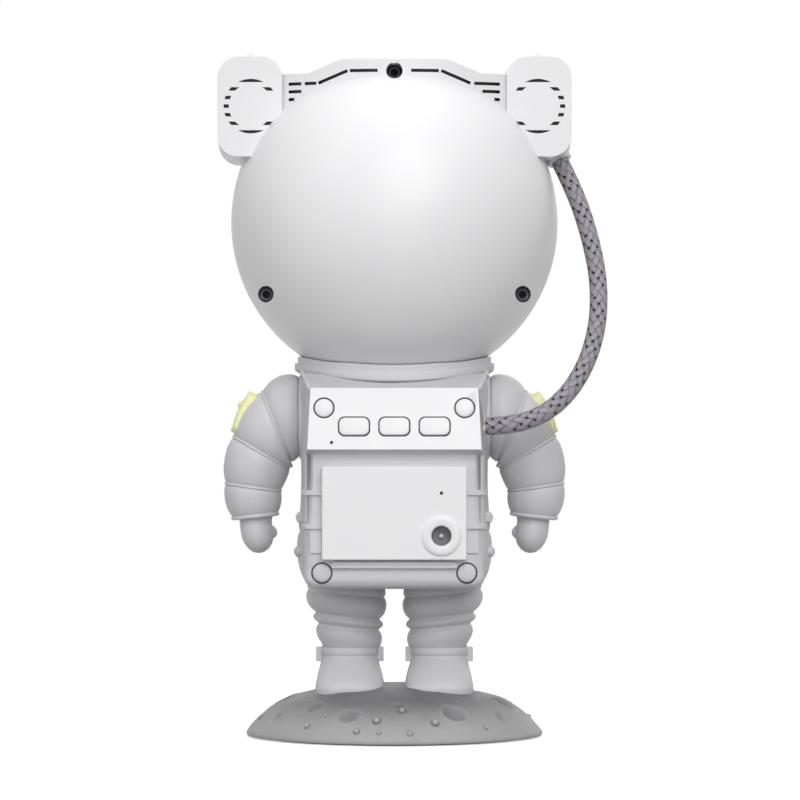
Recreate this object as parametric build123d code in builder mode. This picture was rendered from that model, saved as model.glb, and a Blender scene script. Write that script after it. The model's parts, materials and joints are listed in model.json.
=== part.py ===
from build123d import *
import math
import os

# Driving dimensions, in millimetres and degrees.
# The figure's back faces -Y, its right-hand side is +X and the table is at zero height.

# Fits
fit_gap = 0.1  # between pieces that are fixed to each other
running_gap = 0.05  # round a shaft in its bore
moving_gap = 0.3  # between bodies that pass each other

# Case screws
screw_radius = 1.25
screw_head_radius = 2.4

# Heights that stack up from the table
base_height = 17.9
boot_height = 11.7
leg_height = 20.4
torso_height = 61.6
seat_thickness = 4.8

# Base
base_radius = 49.4
base_wall = 2.6
rim_height = 1.6
crown_radius = 127.0
slope_width = 17.7
plate_thickness = 2.0
plate_rise = 0.5
pad_inset = 3.9
pad_width = 5.0
pad_thickness = 1.5
weight_margin = 7.0
weight_thickness = 3.0
base_screw_inset = 14.4
base_screw_bearings = [45.0, 135.0, 225.0, 315.0]
base_screw_length = 7.0
base_screw_head = 1.0
base_boss_radius = 3.0
crater_depth_share = 0.22
# Each crater: bearing from +X, distance in from the rim, radius of the bowl
craters = [
    (250.0, 7.4, 5.2),
    (299.0, 9.4, 6.0),
    (272.0, 13.0, 3.4),
    (227.0, 11.9, 4.2),
    (322.0, 6.4, 3.4),
    (205.0, 5.9, 3.2),
    (344.0, 11.8, 4.8),
    (176.0, 11.6, 5.0),
    (20.0, 6.9, 4.2),
    (62.0, 8.4, 5.6),
    (92.0, 5.9, 3.6),
    (118.0, 9.4, 4.8),
    (150.0, 6.4, 4.0),
]

# Legs and boots
leg_spread = 14.9
leg_slant = 6.0
leg_peg_radius = 5.0
leg_peg_length = 5.0
# Each leg ring: share of the leg's height, shift outwards from the ankle, radius
leg_rings = [
    (-0.10, 0.0, 9.2),
    (0.06, 0.1, 9.7),
    (0.24, 0.3, 10.8),
    (0.36, 0.4, 10.7),
    (0.42, 0.5, 11.6),
    (0.48, 0.6, 11.8),
    (0.53, 0.7, 11.2),
    (0.64, 1.1, 12.9),
    (0.80, 1.4, 13.4),
    (0.95, 1.3, 12.8),
    (1.12, 1.0, 11.8),
]
boot_top_radius = 9.3
boot_half_width = 11.2
boot_half_length = 17.0
boot_instep_half_width = 10.5
boot_instep_half_length = 12.9
boot_instep_rise = 3.9
boot_toe_shift = 4.5
boot_instep_shift = 2.2
boot_sole = 1.5
strap_height = 2.4
strap_proud = 0.5
buckle_size = 5.0
buckle_proud = 1.6
boot_peg_radius = 3.0
boot_boss_radius = 5.5
boot_screw_head = 1.8

# Torso
torso_reveal = 1.8  # how far the torso shows past the backpack on each side
torso_half_depth = 22.0
torso_corner = 13.0
torso_wall = 2.2
# Each torso ring: share of the torso's height, extra half width, extra half depth
torso_rings = [
    (0.00, -3.7, -4.5),
    (0.065, -0.2, -1.5),
    (0.20, 1.4, -0.5),
    (0.40, 0.2, -1.0),
    (0.62, -0.2, -0.5),
    (0.88, 0.2, 0.5),
    (1.25, -0.2, 1.5),
]
shoulder_drop = 5.2
shoulder_pad_radius = 14.2
shoulder_pad_proud = 0.6
side_trim_back = 12.5
side_knob_radius = 1.9
side_knob_rise = 12.0
side_clip_size = 3.4
side_clip_proud = 0.9
side_clip_rise = 21.5

# Neck seat and swivel
seat_gap = 0.4
collar_half_width = 33.3
collar_half_depth = 27.5
collar_step = 1.0
swivel_radius = 12.7
spindle_radius = 4.0
spindle_flange_radius = 6.5
spindle_flange_height = 2.0
swivel_boss_height = 9.0
swivel_floor_thickness = 2.1
neck_magnet_radius = 8.0
neck_magnet_thickness = 3.0

# Backpack
pack_half_width = 29.4
pack_depth = 15.0
pack_wall = 2.2
pack_foot_gap = 1.0
pack_corner = 3.0
pack_top_rise = 9.4
lip_depth = 4.7
lip_rise = 1.4
slope_angle = 12.0
slope_top_rise = 4.4
slope_height = 20.0
strap_band_height = 1.5
strap_band_proud = 0.9
strap_band_rises = [19.1, 30.1]
side_plate_height = 6.5
side_plate_rise = 11.2
side_plate_inset = 2.0
shelf_inset = 3.3
shelf_height = 2.1
shelf_gap = 0.6
shelf_depth = 1.5

# Rear panel and socket
panel_inset = 5.8
panel_foot = 9.0
panel_head = 4.1
panel_depth = 4.0
panel_corner = 1.8
socket_inset = 8.3
socket_rise = 7.9
socket_ring_radius = 6.5
socket_ring_proud = 0.9
jack_radius = 4.5
jack_length = 12.0
jack_proud = 0.5
jack_bore_radius = 3.2
jack_bore_depth = 9.5
jack_pin_radius = 1.0
jack_pin_length = 8.6
indicator_radius = 0.58
indicator_rise = 21.8

# Control face
button_length = 10.0
button_height = 6.2
button_corner = 2.2
button_pitch = 13.1
button_row = -2.6
button_proud = 0.7
button_gap = 0.25
button_flange = 0.7
button_flange_thickness = 1.0
button_travel = 0.8
stem_radius = 1.6
switch_size = 6.0
switch_height = 2.4
board_depth = 7.0
board_length = 36.0
board_height = 13.0
board_thickness = 1.6
board_post_radius = 1.8
board_post_offset = 8.0
board_post_row = 3.9
microphone_radius = 0.55
microphone_offset = -20.4
microphone_row = -7.9
cap_radius = 3.3
cap_thickness = 1.4
cap_dome = 0.6
cap_gap = 0.2
upper_cap_inset = 6.5
upper_cap_row = 3.6
lower_cap_inset = 5.8
lower_cap_rise = 4.7
pack_screw_head = 2.0
pack_screw_length = 9.0
pack_boss_radius = 4.2

# Chest unit
chest_half_width = 15.0
chest_height = 20.0
chest_proud = 7.0
chest_drop = 33.0
chest_corner = 3.0
chest_edge = 1.0
chest_knob_radius = 2.4
chest_knob_proud = 1.6
chest_knob_pitch = 8.0

# Arms
arm_peg_radius = 4.0
arm_peg_head_radius = 6.0
arm_peg_head_thickness = 2.0
piping_radius = 0.6
# Each arm ring: distance out from the shoulder pad, drop below the shoulder, radius, slope.
# Every second ring is a seam, and the ring between two seams is the fullest part of a puff.
arm_rings = [
    (0.0, 0.0, 13.4, 0.0),
    (3.8, 0.5, 14.0, 9.0),
    (7.4, 2.9, 12.4, 22.5),
    (10.3, 6.9, 12.3, 42.0),
    (12.4, 11.7, 10.7, 60.0),
    (14.1, 16.8, 10.5, 74.0),
    (15.1, 23.4, 9.4, 82.0),
    (15.1, 28.3, 8.9, 88.0),
    (14.6, 33.0, 7.6, 93.0),
]
glove_drop = 39.8
glove_out = 14.5
glove_radius = 5.6
thumb_radius = 2.6
thumb_tip_radius = 1.7
thumb_reach = 8.2
thumb_forward = 3.0
thumb_fall = 1.0
badge_radius = 5.6
badge_thickness = 1.4
badge_out = 19.3
badge_drop = -2.1
badge_slope = 28.0

# Head
head_radius = 54.5
head_wall = 2.4
crown_cut = 2.3
head_screw_inset = 5.7
head_screw_bearings = [90.0, 210.0, 330.0]
head_screw_head_radius = 2.6
head_screw_head_height = 3.0
head_screw_radius = 1.3
head_screw_seat = 14.5
head_screw_reach = 8.0
head_boss_radius = 4.0
front_boss_length = 12.0

# Ear boxes
ear_overlap = 17.4
ear_width = 21.4
ear_low = 21.2
ear_height = 33.0
ear_rear = 17.0
ear_depth = 37.0
ear_corner = 7.0
ear_draft = 1.5
ear_wall = 1.8
ear_rib_half_width = 2.2
ear_rib_proud = 1.4
ear_cover_thickness = 2.0
ear_lens_radius = 7.0
ear_lens_thickness = 3.0
vent_out = 10.3
vent_rise = 16.6
vent_radius = 9.0
vent_width = 1.7
vent_slot = 1.15
vent_pitch = 2.84
screen_thickness = 0.8

# Lamp bar
bar_face_swell = 12.5
bar_rear = 27.2
bar_front = 16.0
bar_side_drop = 5.1
bar_centre_drop = 0.7
bar_step_outer = 28.3
bar_step_inner = 17.2
bar_wall = 1.6
bar_slot = 1.05
bar_row_drop = 9.5
bar_row_pitch = 2.55
bar_ridge_drop = 5.6
# Level slots in the bar's rear face: start, end and row, counted down from the first row
bar_row_slots = [
    (-34.9, -30.7, 0),
    (-29.5, -25.7, 0),
    (26.3, 34.8, 0),
    (-34.9, -30.7, 1),
    (29.0, 34.8, 1),
    (-34.9, -33.0, 2),
    (32.9, 34.8, 2),
]
bar_ridge_slot = (5.5, 14.6)  # level slots beside the middle, on both sides
bar_slant_slot = (15.4, 25.0)  # slanted slots that join the ridge to the first row

# Optics, placed from the head's centre
chassis_inset = 11.5
chassis_thickness = 2.0
chassis_ear_half_width = 3.2
heat_sink_half_size = 14.0
heat_sink_base = 3.0
heat_sink_depth = 16.0
heat_sink_fin = 2.0
heat_sink_fins = 6
led_board_radius = 11.5
led_board_thickness = 1.6
led_radius = 3.5
disc_offset = -15.0
disc_rise = 6.0
axle_radius = 2.0
axle_flange_radius = 3.2
axle_flange_length = 8.0
axle_head_thickness = 1.0
gear_module = 0.8
tooth_tip = 0.70
tooth_root = 1.05
tooth_crest = 0.12
tooth_foot = 0.34
gear_teeth = 64
pinion_teeth = 16
mesh_bearing = 60.0
gear_hub_radius = 4.2
gear_hub_length = 5.0
gear_thickness = 4.0
gear_rim = 2.2
glass_thickness = 2.4
glass_ledge = 1.2
spoke_width = 3.0
spoke_bearings = [90.0, 210.0, 330.0]
pinion_shaft_radius = 1.5
motor_radius = 10.0
motor_length = 21.0
motor_bore_depth = 3.4
laser_drop = 24.0
laser_radius = 5.5
laser_length = 28.0
laser_snout_radius = 3.2
window_radius = 3.5
logic_half_width = 20.0
logic_height = 18.0
logic_drop = 20.0
logic_thickness = 1.6
logic_post_length = 4.4
logic_post_radius = 2.2

# Visor and projection lens
visor_half_width = 38.0
visor_half_height = 31.0
visor_recess = 0.8
visor_thickness = 2.8
visor_flange = 2.5
frame_width = 4.5
frame_proud = 1.6
barrel_radius = 17.4
barrel_wall = 1.4
barrel_length = 31.0
barrel_flange = 2.2
barrel_flange_thickness = 1.4
bezel_width = 2.1
lens_thickness = 4.0
lens_dome = 5.0
lens_ledge = 1.2

# Head magnet
magnet_cup_radius = 12.0
magnet_cup_height = 8.0
head_magnet_radius = 9.0
head_magnet_thickness = 3.6

# Power hose
hose_radius = 2.75
hose_ring_radius = 4.2
hose_ring_proud = 2.4
hose_start_rise = -8.1
hose_start_back = 31.0
hose_lean = 20.0
hose_bend_share = 0.45
# Corners of the hose's route in its own leaning plane, out from the pack and up along the plane
hose_corners = [
    (0.0, 0.0),
    (10.6, 0.0),
    (23.6, 6.4),
    (32.6, 18.6),
    (37.6, 33.8),
    (38.4, 50.4),
    (35.6, 66.8),
    (31.0, 82.6),
    (25.6, 94.6),
]

# Places worked out from the driving dimensions
crown_reach = base_radius - slope_width
pad_outer_radius = base_radius - pad_inset
base_screw_circle = base_radius - base_screw_inset
weight_radius = base_screw_circle - base_boss_radius - weight_margin
torso_half_width = pack_half_width + torso_reveal
panel_half_width = pack_half_width - panel_inset
side_plate_half_width = pack_half_width - side_plate_inset
shelf_half_width = panel_half_width - shelf_inset
socket_offset = panel_half_width - socket_inset
upper_cap_offset = pack_half_width - upper_cap_inset
lower_cap_offset = pack_half_width - lower_cap_inset
crown_flat = head_radius - crown_cut
head_screw_circle = head_radius - head_screw_inset
chassis_radius = head_radius - chassis_inset
ear_inner = head_radius - ear_overlap
vent_middle = ear_inner + vent_out
vent_centre_rise = ear_low + vent_rise
bar_face_radius = head_radius + bar_face_swell
bar_side_rise = head_radius - bar_side_drop
bar_centre_rise = head_radius - bar_centre_drop
bar_row_rise = head_radius - bar_row_drop
bar_ridge_rise = head_radius - bar_ridge_drop
crown_angle = math.asin(crown_reach / crown_radius)
ankle_height = base_height + boot_height
hip_height = ankle_height + leg_height
neck_height = hip_height + torso_height
seat_radius = head_radius + seat_gap
seat_under_radius = seat_radius + seat_thickness
head_height = neck_height + seat_under_radius
head_centre = (0, 0, head_height)
head_inner_radius = head_radius - head_wall
shoulder_height = neck_height - shoulder_drop
shoulder_face = torso_half_width + shoulder_pad_proud
pack_foot = hip_height + pack_foot_gap
pack_rear = torso_half_depth + pack_depth
slope_top = neck_height + slope_top_rise
slope_foot = slope_top - slope_height
lip_rear = pack_rear + lip_depth
slope_run = slope_height * math.tan(math.radians(slope_angle))
slope_plane = Plane(
    origin=(0, slope_run / 2 - lip_rear, slope_foot + slope_height / 2),
    x_dir=(1, 0, 0),
    z_dir=(0, -math.cos(math.radians(slope_angle)), math.sin(math.radians(slope_angle))),
)
panel_bottom = pack_foot + panel_foot
panel_top = slope_foot - lip_rise - panel_head
panel_rear = pack_rear + panel_depth
socket_height = panel_bottom + socket_rise
ear_middle = ear_inner + ear_width / 2
ear_centre_rise = ear_low + ear_height / 2
gear_pitch_radius = gear_module * gear_teeth / 2
pinion_pitch_radius = gear_module * pinion_teeth / 2
gear_reach = gear_pitch_radius + pinion_pitch_radius
pinion_offset = disc_offset + gear_reach * math.cos(math.radians(mesh_bearing))
pinion_rise = disc_rise + gear_reach * math.sin(math.radians(mesh_bearing))
gear_start = chassis_thickness + axle_flange_length + moving_gap
visor_radius = head_radius - visor_recess
visor_inner_radius = visor_radius - visor_thickness
lens_face = head_radius
barrel_end = lens_face - moving_gap
barrel_start = barrel_end - barrel_length
hose_plane = Plane(
    origin=(pack_half_width, -hose_start_back, neck_height + hose_start_rise),
    x_dir=(1, 0, 0),
    z_dir=(0, -math.cos(math.radians(hose_lean)), math.sin(math.radians(hose_lean))),
)
os.makedirs("parts", exist_ok=True)


# Helpers that add a simple solid to the part being built


def ball(radius, mode=Mode.ADD):
    """A ball about the head's centre."""
    with Locations(head_centre):
        Sphere(radius, mode=mode)


def rod(start, end, radius, mode=Mode.ADD):
    """A round bar between two points."""
    along = Vector(*end) - Vector(*start)
    with Locations(Plane(origin=start, z_dir=along)):
        Cylinder(radius, along.length, align=(Align.CENTER, Align.CENTER, Align.MIN), mode=mode)


def post(x, y, foot, top, radius, mode=Mode.ADD):
    """A round bar along Z."""
    rod((x, y, foot), (x, y, top), radius, mode)


def level_rod(x, z, start, end, radius, mode=Mode.ADD):
    """A round bar along Y."""
    rod((x, start, z), (x, end, z), radius, mode)


def head_rod(x, rise, start, end, radius, mode=Mode.ADD):
    """A round bar along Y, placed from the head's centre."""
    level_rod(x, head_height + rise, start, end, radius, mode)


def block(x_span, y_span, z_span, mode=Mode.ADD):
    """A box between two stations on each axis."""
    spans = [sorted(span) for span in (x_span, y_span, z_span)]
    with Locations(tuple((low + high) / 2 for low, high in spans)):
        Box(*(high - low for low, high in spans), mode=mode)


# Helpers that place things


def rear_plane(y):
    """A sketch plane square to Y, with X to the right and Z up as seen from behind."""
    return Plane(origin=(0, y, 0), x_dir=(1, 0, 0), z_dir=(0, -1, 0))


def on_circle(bearings, radius):
    """Points on a circle, as pairs of sideways and upward distances."""
    return [(radius * math.cos(math.radians(b)), radius * math.sin(math.radians(b))) for b in bearings]


def crown_end(inset):
    """Where the base's crown, set in by a wall, turns into its slope."""
    radius = crown_radius - inset
    centre_height = base_height - crown_radius
    return Vector(radius * math.sin(crown_angle), centre_height + radius * math.cos(crown_angle))


def moon_surface(distance):
    """Height of the base's slope at a distance from the axis, and its outward direction there."""
    start = crown_end(0)
    outwards = Vector(math.sin(crown_angle), math.cos(crown_angle))
    chord = Vector(base_radius, rim_height) - start
    bend = -chord.length**2 / (2 * outwards.dot(chord))
    centre = start - outwards * bend
    rise = math.sqrt(bend**2 - (distance - centre.X) ** 2)
    return centre.Y + rise, Vector(distance - centre.X, rise).normalized()


# Helpers that return a form of their own


def moon(inset, foot):
    """The base's solid dome, set in by a wall: a crown, a rounder slope and a short upright rim."""
    with BuildPart() as form:
        with BuildSketch(Plane.XZ):
            with BuildLine():
                floor = Line((0, foot), (base_radius - inset, foot))
                rim = Line(floor @ 1, (base_radius - inset, rim_height))
                crown = RadiusArc((0, base_height - inset), crown_end(inset), crown_radius - inset)
                TangentArc(crown @ 1, rim @ 1, tangent=crown % 1)
                Line(crown @ 0, floor @ 0)
            make_face()
        revolve(axis=Axis.Z)
    return form.part


def torso_solid(inset):
    """The torso's outer form, or its hollow when it is set in by the wall."""
    with BuildPart() as form:
        for share, extra_width, extra_depth in torso_rings:
            with BuildSketch(Plane.XY.offset(hip_height + inset + share * torso_height)):
                RectangleRounded(
                    2 * (torso_half_width + extra_width - inset),
                    2 * (torso_half_depth + extra_depth - inset),
                    torso_corner - inset,
                )
        loft()
    return form.part


def neck_column(half_width, half_depth):
    """An upright oval column through the neck."""
    with BuildPart() as form:
        with BuildSketch(Plane.XY.offset(hip_height)):
            Ellipse(half_width, half_depth)
        extrude(amount=torso_height + head_radius)
    return form.part


def visor_column(margin):
    """An oval column along +Y through the face of the head."""
    with BuildPart() as form:
        with BuildSketch(rear_plane(0)):
            with Locations((0, head_height)):
                Ellipse(visor_half_width + margin, visor_half_height + margin)
        extrude(amount=-2 * head_radius)
    return form.part


def ear_solid(inset, start, end):
    """The right ear box's drafted form between two stations forward of its rear face."""
    growth = math.tan(math.radians(ear_draft))
    with BuildPart() as form:
        for station in (start, end):
            with BuildSketch(rear_plane(station - ear_rear)):
                with Locations((ear_middle, head_height + ear_centre_rise)):
                    RectangleRounded(
                        ear_width + 2 * (growth * station - inset),
                        ear_height + 2 * (growth * station - inset),
                        ear_corner - inset,
                    )
        loft()
    return form.part


def bar_solid(inset):
    """The lamp bar's form: a curved plan cut to a stepped outline."""
    face_radius = bar_face_radius - inset
    half_width = ear_middle
    side = half_width, head_height + bar_side_rise - inset
    outer = bar_step_outer, head_height + bar_side_rise - inset
    inner = bar_step_inner, head_height + bar_centre_rise - inset
    centre_y = bar_face_radius - bar_rear
    face_y = centre_y - math.sqrt(face_radius**2 - half_width**2)
    with BuildPart() as form:
        with BuildSketch(Plane.XY.offset(head_height)):
            with BuildLine():
                middle = (0, centre_y - face_radius)
                face = ThreePointArc((-half_width, face_y), middle, (half_width, face_y))
                right = Line(face @ 1, (half_width, bar_front - inset))
                front = Line(right @ 1, (-half_width, bar_front - inset))
                Line(front @ 1, face @ 0)
            make_face()
        extrude(amount=2 * head_radius)
        with BuildSketch(rear_plane(head_radius)):
            with BuildLine():
                roof = Polyline((half_width, head_height), side, outer, inner, (0, inner[1]))
                mirror(roof, about=Plane.YZ)
                Line((half_width, head_height), (-half_width, head_height))
            make_face()
        extrude(amount=2 * head_radius, mode=Mode.INTERSECT)
    return form.part


def gear_outline(teeth, phase):
    """A spur gear's corners with straight-sided teeth, one tooth centred on the phase angle."""
    pitch_radius = gear_module * teeth / 2
    tip = pitch_radius + tooth_tip * gear_module
    root = pitch_radius - tooth_root * gear_module
    step = 360 / teeth
    shares = ((root, -tooth_foot), (tip, -tooth_crest), (tip, tooth_crest), (root, tooth_foot))
    corners = []
    for tooth in range(teeth):
        for radius, share in shares:
            corners += on_circle([phase + (tooth + share) * step], radius)
    return corners


# Base: a moon-like dome on a weighted plate

moon_form = moon(0, plate_rise)
moon_hollow = moon(base_wall, plate_rise)
moon_middle = moon(base_wall / 2, plate_rise)
moon_floor = moon(base_wall + fit_gap, plate_rise)
moon_ground = moon(0, plate_rise - base_wall)
base_bosses = on_circle(base_screw_bearings, base_screw_circle)
boot_points = [(-leg_spread, 0), (leg_spread, 0)]
plate_top = plate_rise + plate_thickness
boot_boss_foot = plate_top + weight_thickness + boot_screw_head + fit_gap

with BuildPart() as base_posts:
    for x, y in base_bosses:
        post(x, y, plate_top, base_height, base_boss_radius)
    for x, y in boot_points:
        post(x, y, boot_boss_foot, base_height, boot_boss_radius)
    add(moon_middle, mode=Mode.INTERSECT)

with BuildPart() as base_shell:
    add(moon_form)
    add(moon_hollow, mode=Mode.SUBTRACT)
    add(base_posts.part)
    for x, y in base_bosses:
        post(x, y, plate_rise, plate_rise + base_screw_length, screw_radius + fit_gap, Mode.SUBTRACT)
    for x, y in boot_points:
        post(x, y, 0, base_height, boot_peg_radius + fit_gap, Mode.SUBTRACT)
    for bearing, inset, radius in craters:
        distance = base_radius - inset
        depth = crater_depth_share * radius
        bowl = (radius**2 + depth**2) / (2 * depth)
        height, outwards = moon_surface(distance)
        lift = outwards * (bowl - depth)
        (x, y), = on_circle([bearing], distance + lift.X)
        with Locations((x, y, height + lift.Y)):
            Sphere(bowl, mode=Mode.SUBTRACT)

with BuildPart() as base_plate:
    post(0, 0, plate_rise, plate_top, base_radius)
    add(moon_floor, mode=Mode.INTERSECT)
    with BuildSketch(Plane.XY.offset(plate_rise)):
        Circle(pad_outer_radius + fit_gap)
        Circle(pad_outer_radius - pad_width - fit_gap, mode=Mode.SUBTRACT)
    extrude(amount=pad_thickness - plate_rise, mode=Mode.SUBTRACT)
    for x, y in base_bosses:
        post(x, y, plate_rise, plate_top, screw_radius + fit_gap, Mode.SUBTRACT)
        post(x, y, plate_rise, plate_rise + base_screw_head, screw_head_radius + fit_gap, Mode.SUBTRACT)

with BuildPart() as base_pad:
    with BuildSketch():
        Circle(pad_outer_radius)
        Circle(pad_outer_radius - pad_width, mode=Mode.SUBTRACT)
    extrude(amount=pad_thickness)

with BuildPart() as base_weight:
    post(0, 0, plate_top, plate_top + weight_thickness, weight_radius)
    chamfer(base_weight.edges().sort_by(Axis.Z)[-1], weight_thickness / 5)

with BuildPart() as base_screws:
    for x, y in base_bosses:
        post(x, y, plate_rise, plate_rise + base_screw_head, screw_head_radius)
        post(x, y, plate_rise, plate_rise + base_screw_length - fit_gap, screw_radius)

# Boots and legs, built on the right and mirrored to the left

strap_radius = boot_top_radius + strap_proud
strap_foot = ankle_height - strap_height
boot_rings = [
    (plate_rise, boot_half_width, boot_half_length, boot_toe_shift),
    (base_height - boot_sole, boot_half_width, boot_half_length, boot_toe_shift),
    (base_height + boot_instep_rise, boot_instep_half_width, boot_instep_half_length, boot_instep_shift),
    (strap_foot, boot_top_radius, boot_top_radius + strap_proud / 10, 0),
]

with BuildPart() as boot_right:
    for height, half_width, half_length, shift in boot_rings:
        with BuildSketch(Plane.XY.offset(height)):
            with Locations((leg_spread, shift)):
                Ellipse(half_width, half_length)
    loft()
    post(leg_spread, 0, strap_foot, ankle_height, strap_radius)
    for side in (-1, 1):
        strap_edge = leg_spread + side * strap_radius
        block((strap_edge - side * buckle_proud, strap_edge + side * buckle_proud / 2),
              (-buckle_size / 2, buckle_size / 2), (strap_foot - buckle_size / 2, ankle_height))
    add(moon_ground, mode=Mode.SUBTRACT)
    post(leg_spread, 0, boot_boss_foot, base_height + boot_height / 4, boot_peg_radius)
    post(leg_spread, 0, ankle_height - leg_peg_length - fit_gap, ankle_height,
         leg_peg_radius + fit_gap, Mode.SUBTRACT)
    post(leg_spread, 0, boot_boss_foot, base_height, screw_radius + fit_gap, Mode.SUBTRACT)

with BuildPart() as boots:
    add(boot_right.part)
    mirror(boot_right.part, about=Plane.YZ)

with BuildPart() as boot_screws:
    for x, y in boot_points:
        post(x, y, boot_boss_foot - boot_screw_head, boot_boss_foot, boot_boss_radius - base_wall / 2)
        post(x, y, boot_boss_foot, base_height - fit_gap, screw_radius)

with BuildPart() as leg_right:
    for share, shift, radius in leg_rings:
        ring_plane = Plane(
            origin=(leg_spread + shift, 0, ankle_height + share * leg_height),
            x_dir=(0, 1, 0),
            z_dir=(-math.sin(math.radians(leg_slant)), 0, math.cos(math.radians(leg_slant))),
        )
        with BuildSketch(ring_plane):
            Circle(radius)
    loft()
    post(leg_spread, 0, ankle_height - leg_peg_length, ankle_height, base_radius, Mode.SUBTRACT)
    post(leg_spread, 0, hip_height, hip_height + leg_height, base_radius, Mode.SUBTRACT)
    post(leg_spread, 0, ankle_height - leg_peg_length, hip_height + leg_peg_length, leg_peg_radius)

with BuildPart() as legs:
    add(leg_right.part)
    mirror(leg_right.part, about=Plane.YZ)

# Torso: two half shells that clamp the arms, the legs and the neck spindle

torso_form = torso_solid(0)
torso_hollow = torso_solid(torso_wall)
spindle_foot = neck_height - swivel_boss_height
flange_top = spindle_foot - moving_gap
magnet_seat = neck_height + swivel_floor_thickness
swivel_floor = neck_height - moving_gap
pack_screw_seat = torso_half_depth + pack_wall
arm_peg_start = shoulder_face - torso_wall - arm_peg_head_thickness - moving_gap
upper_cap_height = slope_plane.from_local_coords((0, upper_cap_row, 0)).Z
lower_cap_height = pack_foot + lower_cap_rise
cap_points = [(side * upper_cap_offset, upper_cap_height) for side in (-1, 1)]
cap_points += [(side * lower_cap_offset, lower_cap_height) for side in (-1, 1)]

with BuildPart() as torso_cavity:
    add(torso_hollow)
    ball(seat_under_radius + torso_wall, Mode.SUBTRACT)
    post(0, 0, spindle_foot, neck_height + torso_height, swivel_radius + torso_wall, Mode.SUBTRACT)
    for side in (-1, 1):
        rod((side * (shoulder_face - torso_wall - arm_peg_head_radius), 0, shoulder_height),
            (side * shoulder_face, 0, shoulder_height), arm_peg_head_radius + torso_wall, Mode.SUBTRACT)
        post(side * leg_spread, 0, hip_height, hip_height + leg_peg_length + torso_wall,
             leg_peg_radius + torso_wall, Mode.SUBTRACT)

with BuildPart() as torso_outer:
    add(torso_form)
    for side in (-1, 1):
        rod((0, 0, shoulder_height), (side * shoulder_face, 0, shoulder_height), shoulder_pad_radius)
        with Locations((side * torso_half_width, -side_trim_back, hip_height + side_knob_rise)):
            Sphere(side_knob_radius)
        block((0, side * (torso_half_width + side_clip_proud)),
              (-side_trim_back - side_clip_size / 2, -side_trim_back + side_clip_size / 2),
              (hip_height + side_clip_rise, hip_height + side_clip_rise + side_clip_size))
    ball(seat_under_radius, Mode.SUBTRACT)

with BuildPart() as torso_shells:
    add(torso_outer.part)
    add(torso_cavity.part, mode=Mode.SUBTRACT)
    post(0, 0, swivel_floor, head_height, swivel_radius + moving_gap, Mode.SUBTRACT)
    post(0, 0, hip_height + torso_wall, head_height, spindle_radius + running_gap, Mode.SUBTRACT)
    for side in (-1, 1):
        rod((side * (arm_peg_start - moving_gap), 0, shoulder_height),
            (side * (shoulder_face - torso_wall), 0, shoulder_height),
            arm_peg_head_radius + moving_gap, Mode.SUBTRACT)
        rod((0, 0, shoulder_height), (side * shoulder_face, 0, shoulder_height),
            arm_peg_radius + running_gap, Mode.SUBTRACT)
        post(side * leg_spread, 0, hip_height, hip_height + leg_peg_length + fit_gap,
             leg_peg_radius + fit_gap, Mode.SUBTRACT)
    for x, z in cap_points:
        level_rod(x, z, 0, -pack_rear, screw_radius + fit_gap, Mode.SUBTRACT)

with BuildPart() as torso_rear_shell:
    add(torso_shells.part)
    split(bisect_by=Plane.XZ, keep=Keep.TOP)

with BuildPart() as torso_front_shell:
    add(torso_shells.part)
    split(bisect_by=Plane.XZ, keep=Keep.BOTTOM)

# Chest unit, a plain box with three knobs on the front of the torso

chest_top = neck_height - chest_drop + chest_height
chest_face = torso_half_depth + chest_proud

with BuildPart() as chest_unit:
    with BuildSketch(rear_plane(0)):
        with Locations((0, chest_top - chest_height / 2)):
            RectangleRounded(2 * chest_half_width, chest_height, chest_corner)
    extrude(amount=-chest_face)
    chamfer(chest_unit.faces().sort_by(Axis.Y)[-1].edges(), chest_edge)
    for step in (-1, 0, 1):
        x = step * chest_knob_pitch
        z = chest_top - chest_height / 3
        level_rod(x, z, 0, chest_face + chest_knob_proud, chest_knob_radius)
    add(torso_outer.part, mode=Mode.SUBTRACT)
    block((-pack_half_width, pack_half_width), (-torso_half_depth, 0), (hip_height, neck_height),
          Mode.SUBTRACT)

# Neck: a stepped collar with a hollow seat, and the swivel dish that turns in it

wide_column = neck_column(collar_half_width, collar_half_depth)
slim_column = neck_column(collar_half_width - collar_step, collar_half_depth - collar_step)

with BuildPart() as neck_collar:
    add(wide_column)
    ball(seat_radius + seat_thickness / 2, Mode.SUBTRACT)
    add(slim_column)
    ball(seat_under_radius, Mode.INTERSECT)
    ball(seat_radius, Mode.SUBTRACT)
    post(0, 0, hip_height, head_height, swivel_radius + moving_gap, Mode.SUBTRACT)

with BuildPart() as swivel_dish:
    post(0, 0, neck_height, head_height, swivel_radius)
    post(0, 0, flange_top, neck_height, spindle_radius)
    post(0, 0, flange_top - spindle_flange_height, flange_top, spindle_flange_radius)
    ball(head_radius + moving_gap, Mode.SUBTRACT)
    post(0, 0, magnet_seat, head_height, neck_magnet_radius + fit_gap, Mode.SUBTRACT)

with BuildPart() as neck_magnet:
    post(0, 0, magnet_seat, magnet_seat + neck_magnet_thickness, neck_magnet_radius)

# Backpack: one hollow shell that seats on the torso's back

pack_ceiling = neck_height + pack_top_rise
pack_outline = [
    (0, pack_foot),
    (-pack_rear, pack_foot),
    (-pack_rear, slope_foot - lip_rise),
    (-lip_rear, slope_foot),
    (slope_run - lip_rear, slope_top),
    (-torso_half_depth, pack_ceiling),
    (0, pack_ceiling),
]
hose_start = hose_plane.from_local_coords((0, 0, 0))
jack_front = panel_rear + jack_proud

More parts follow.
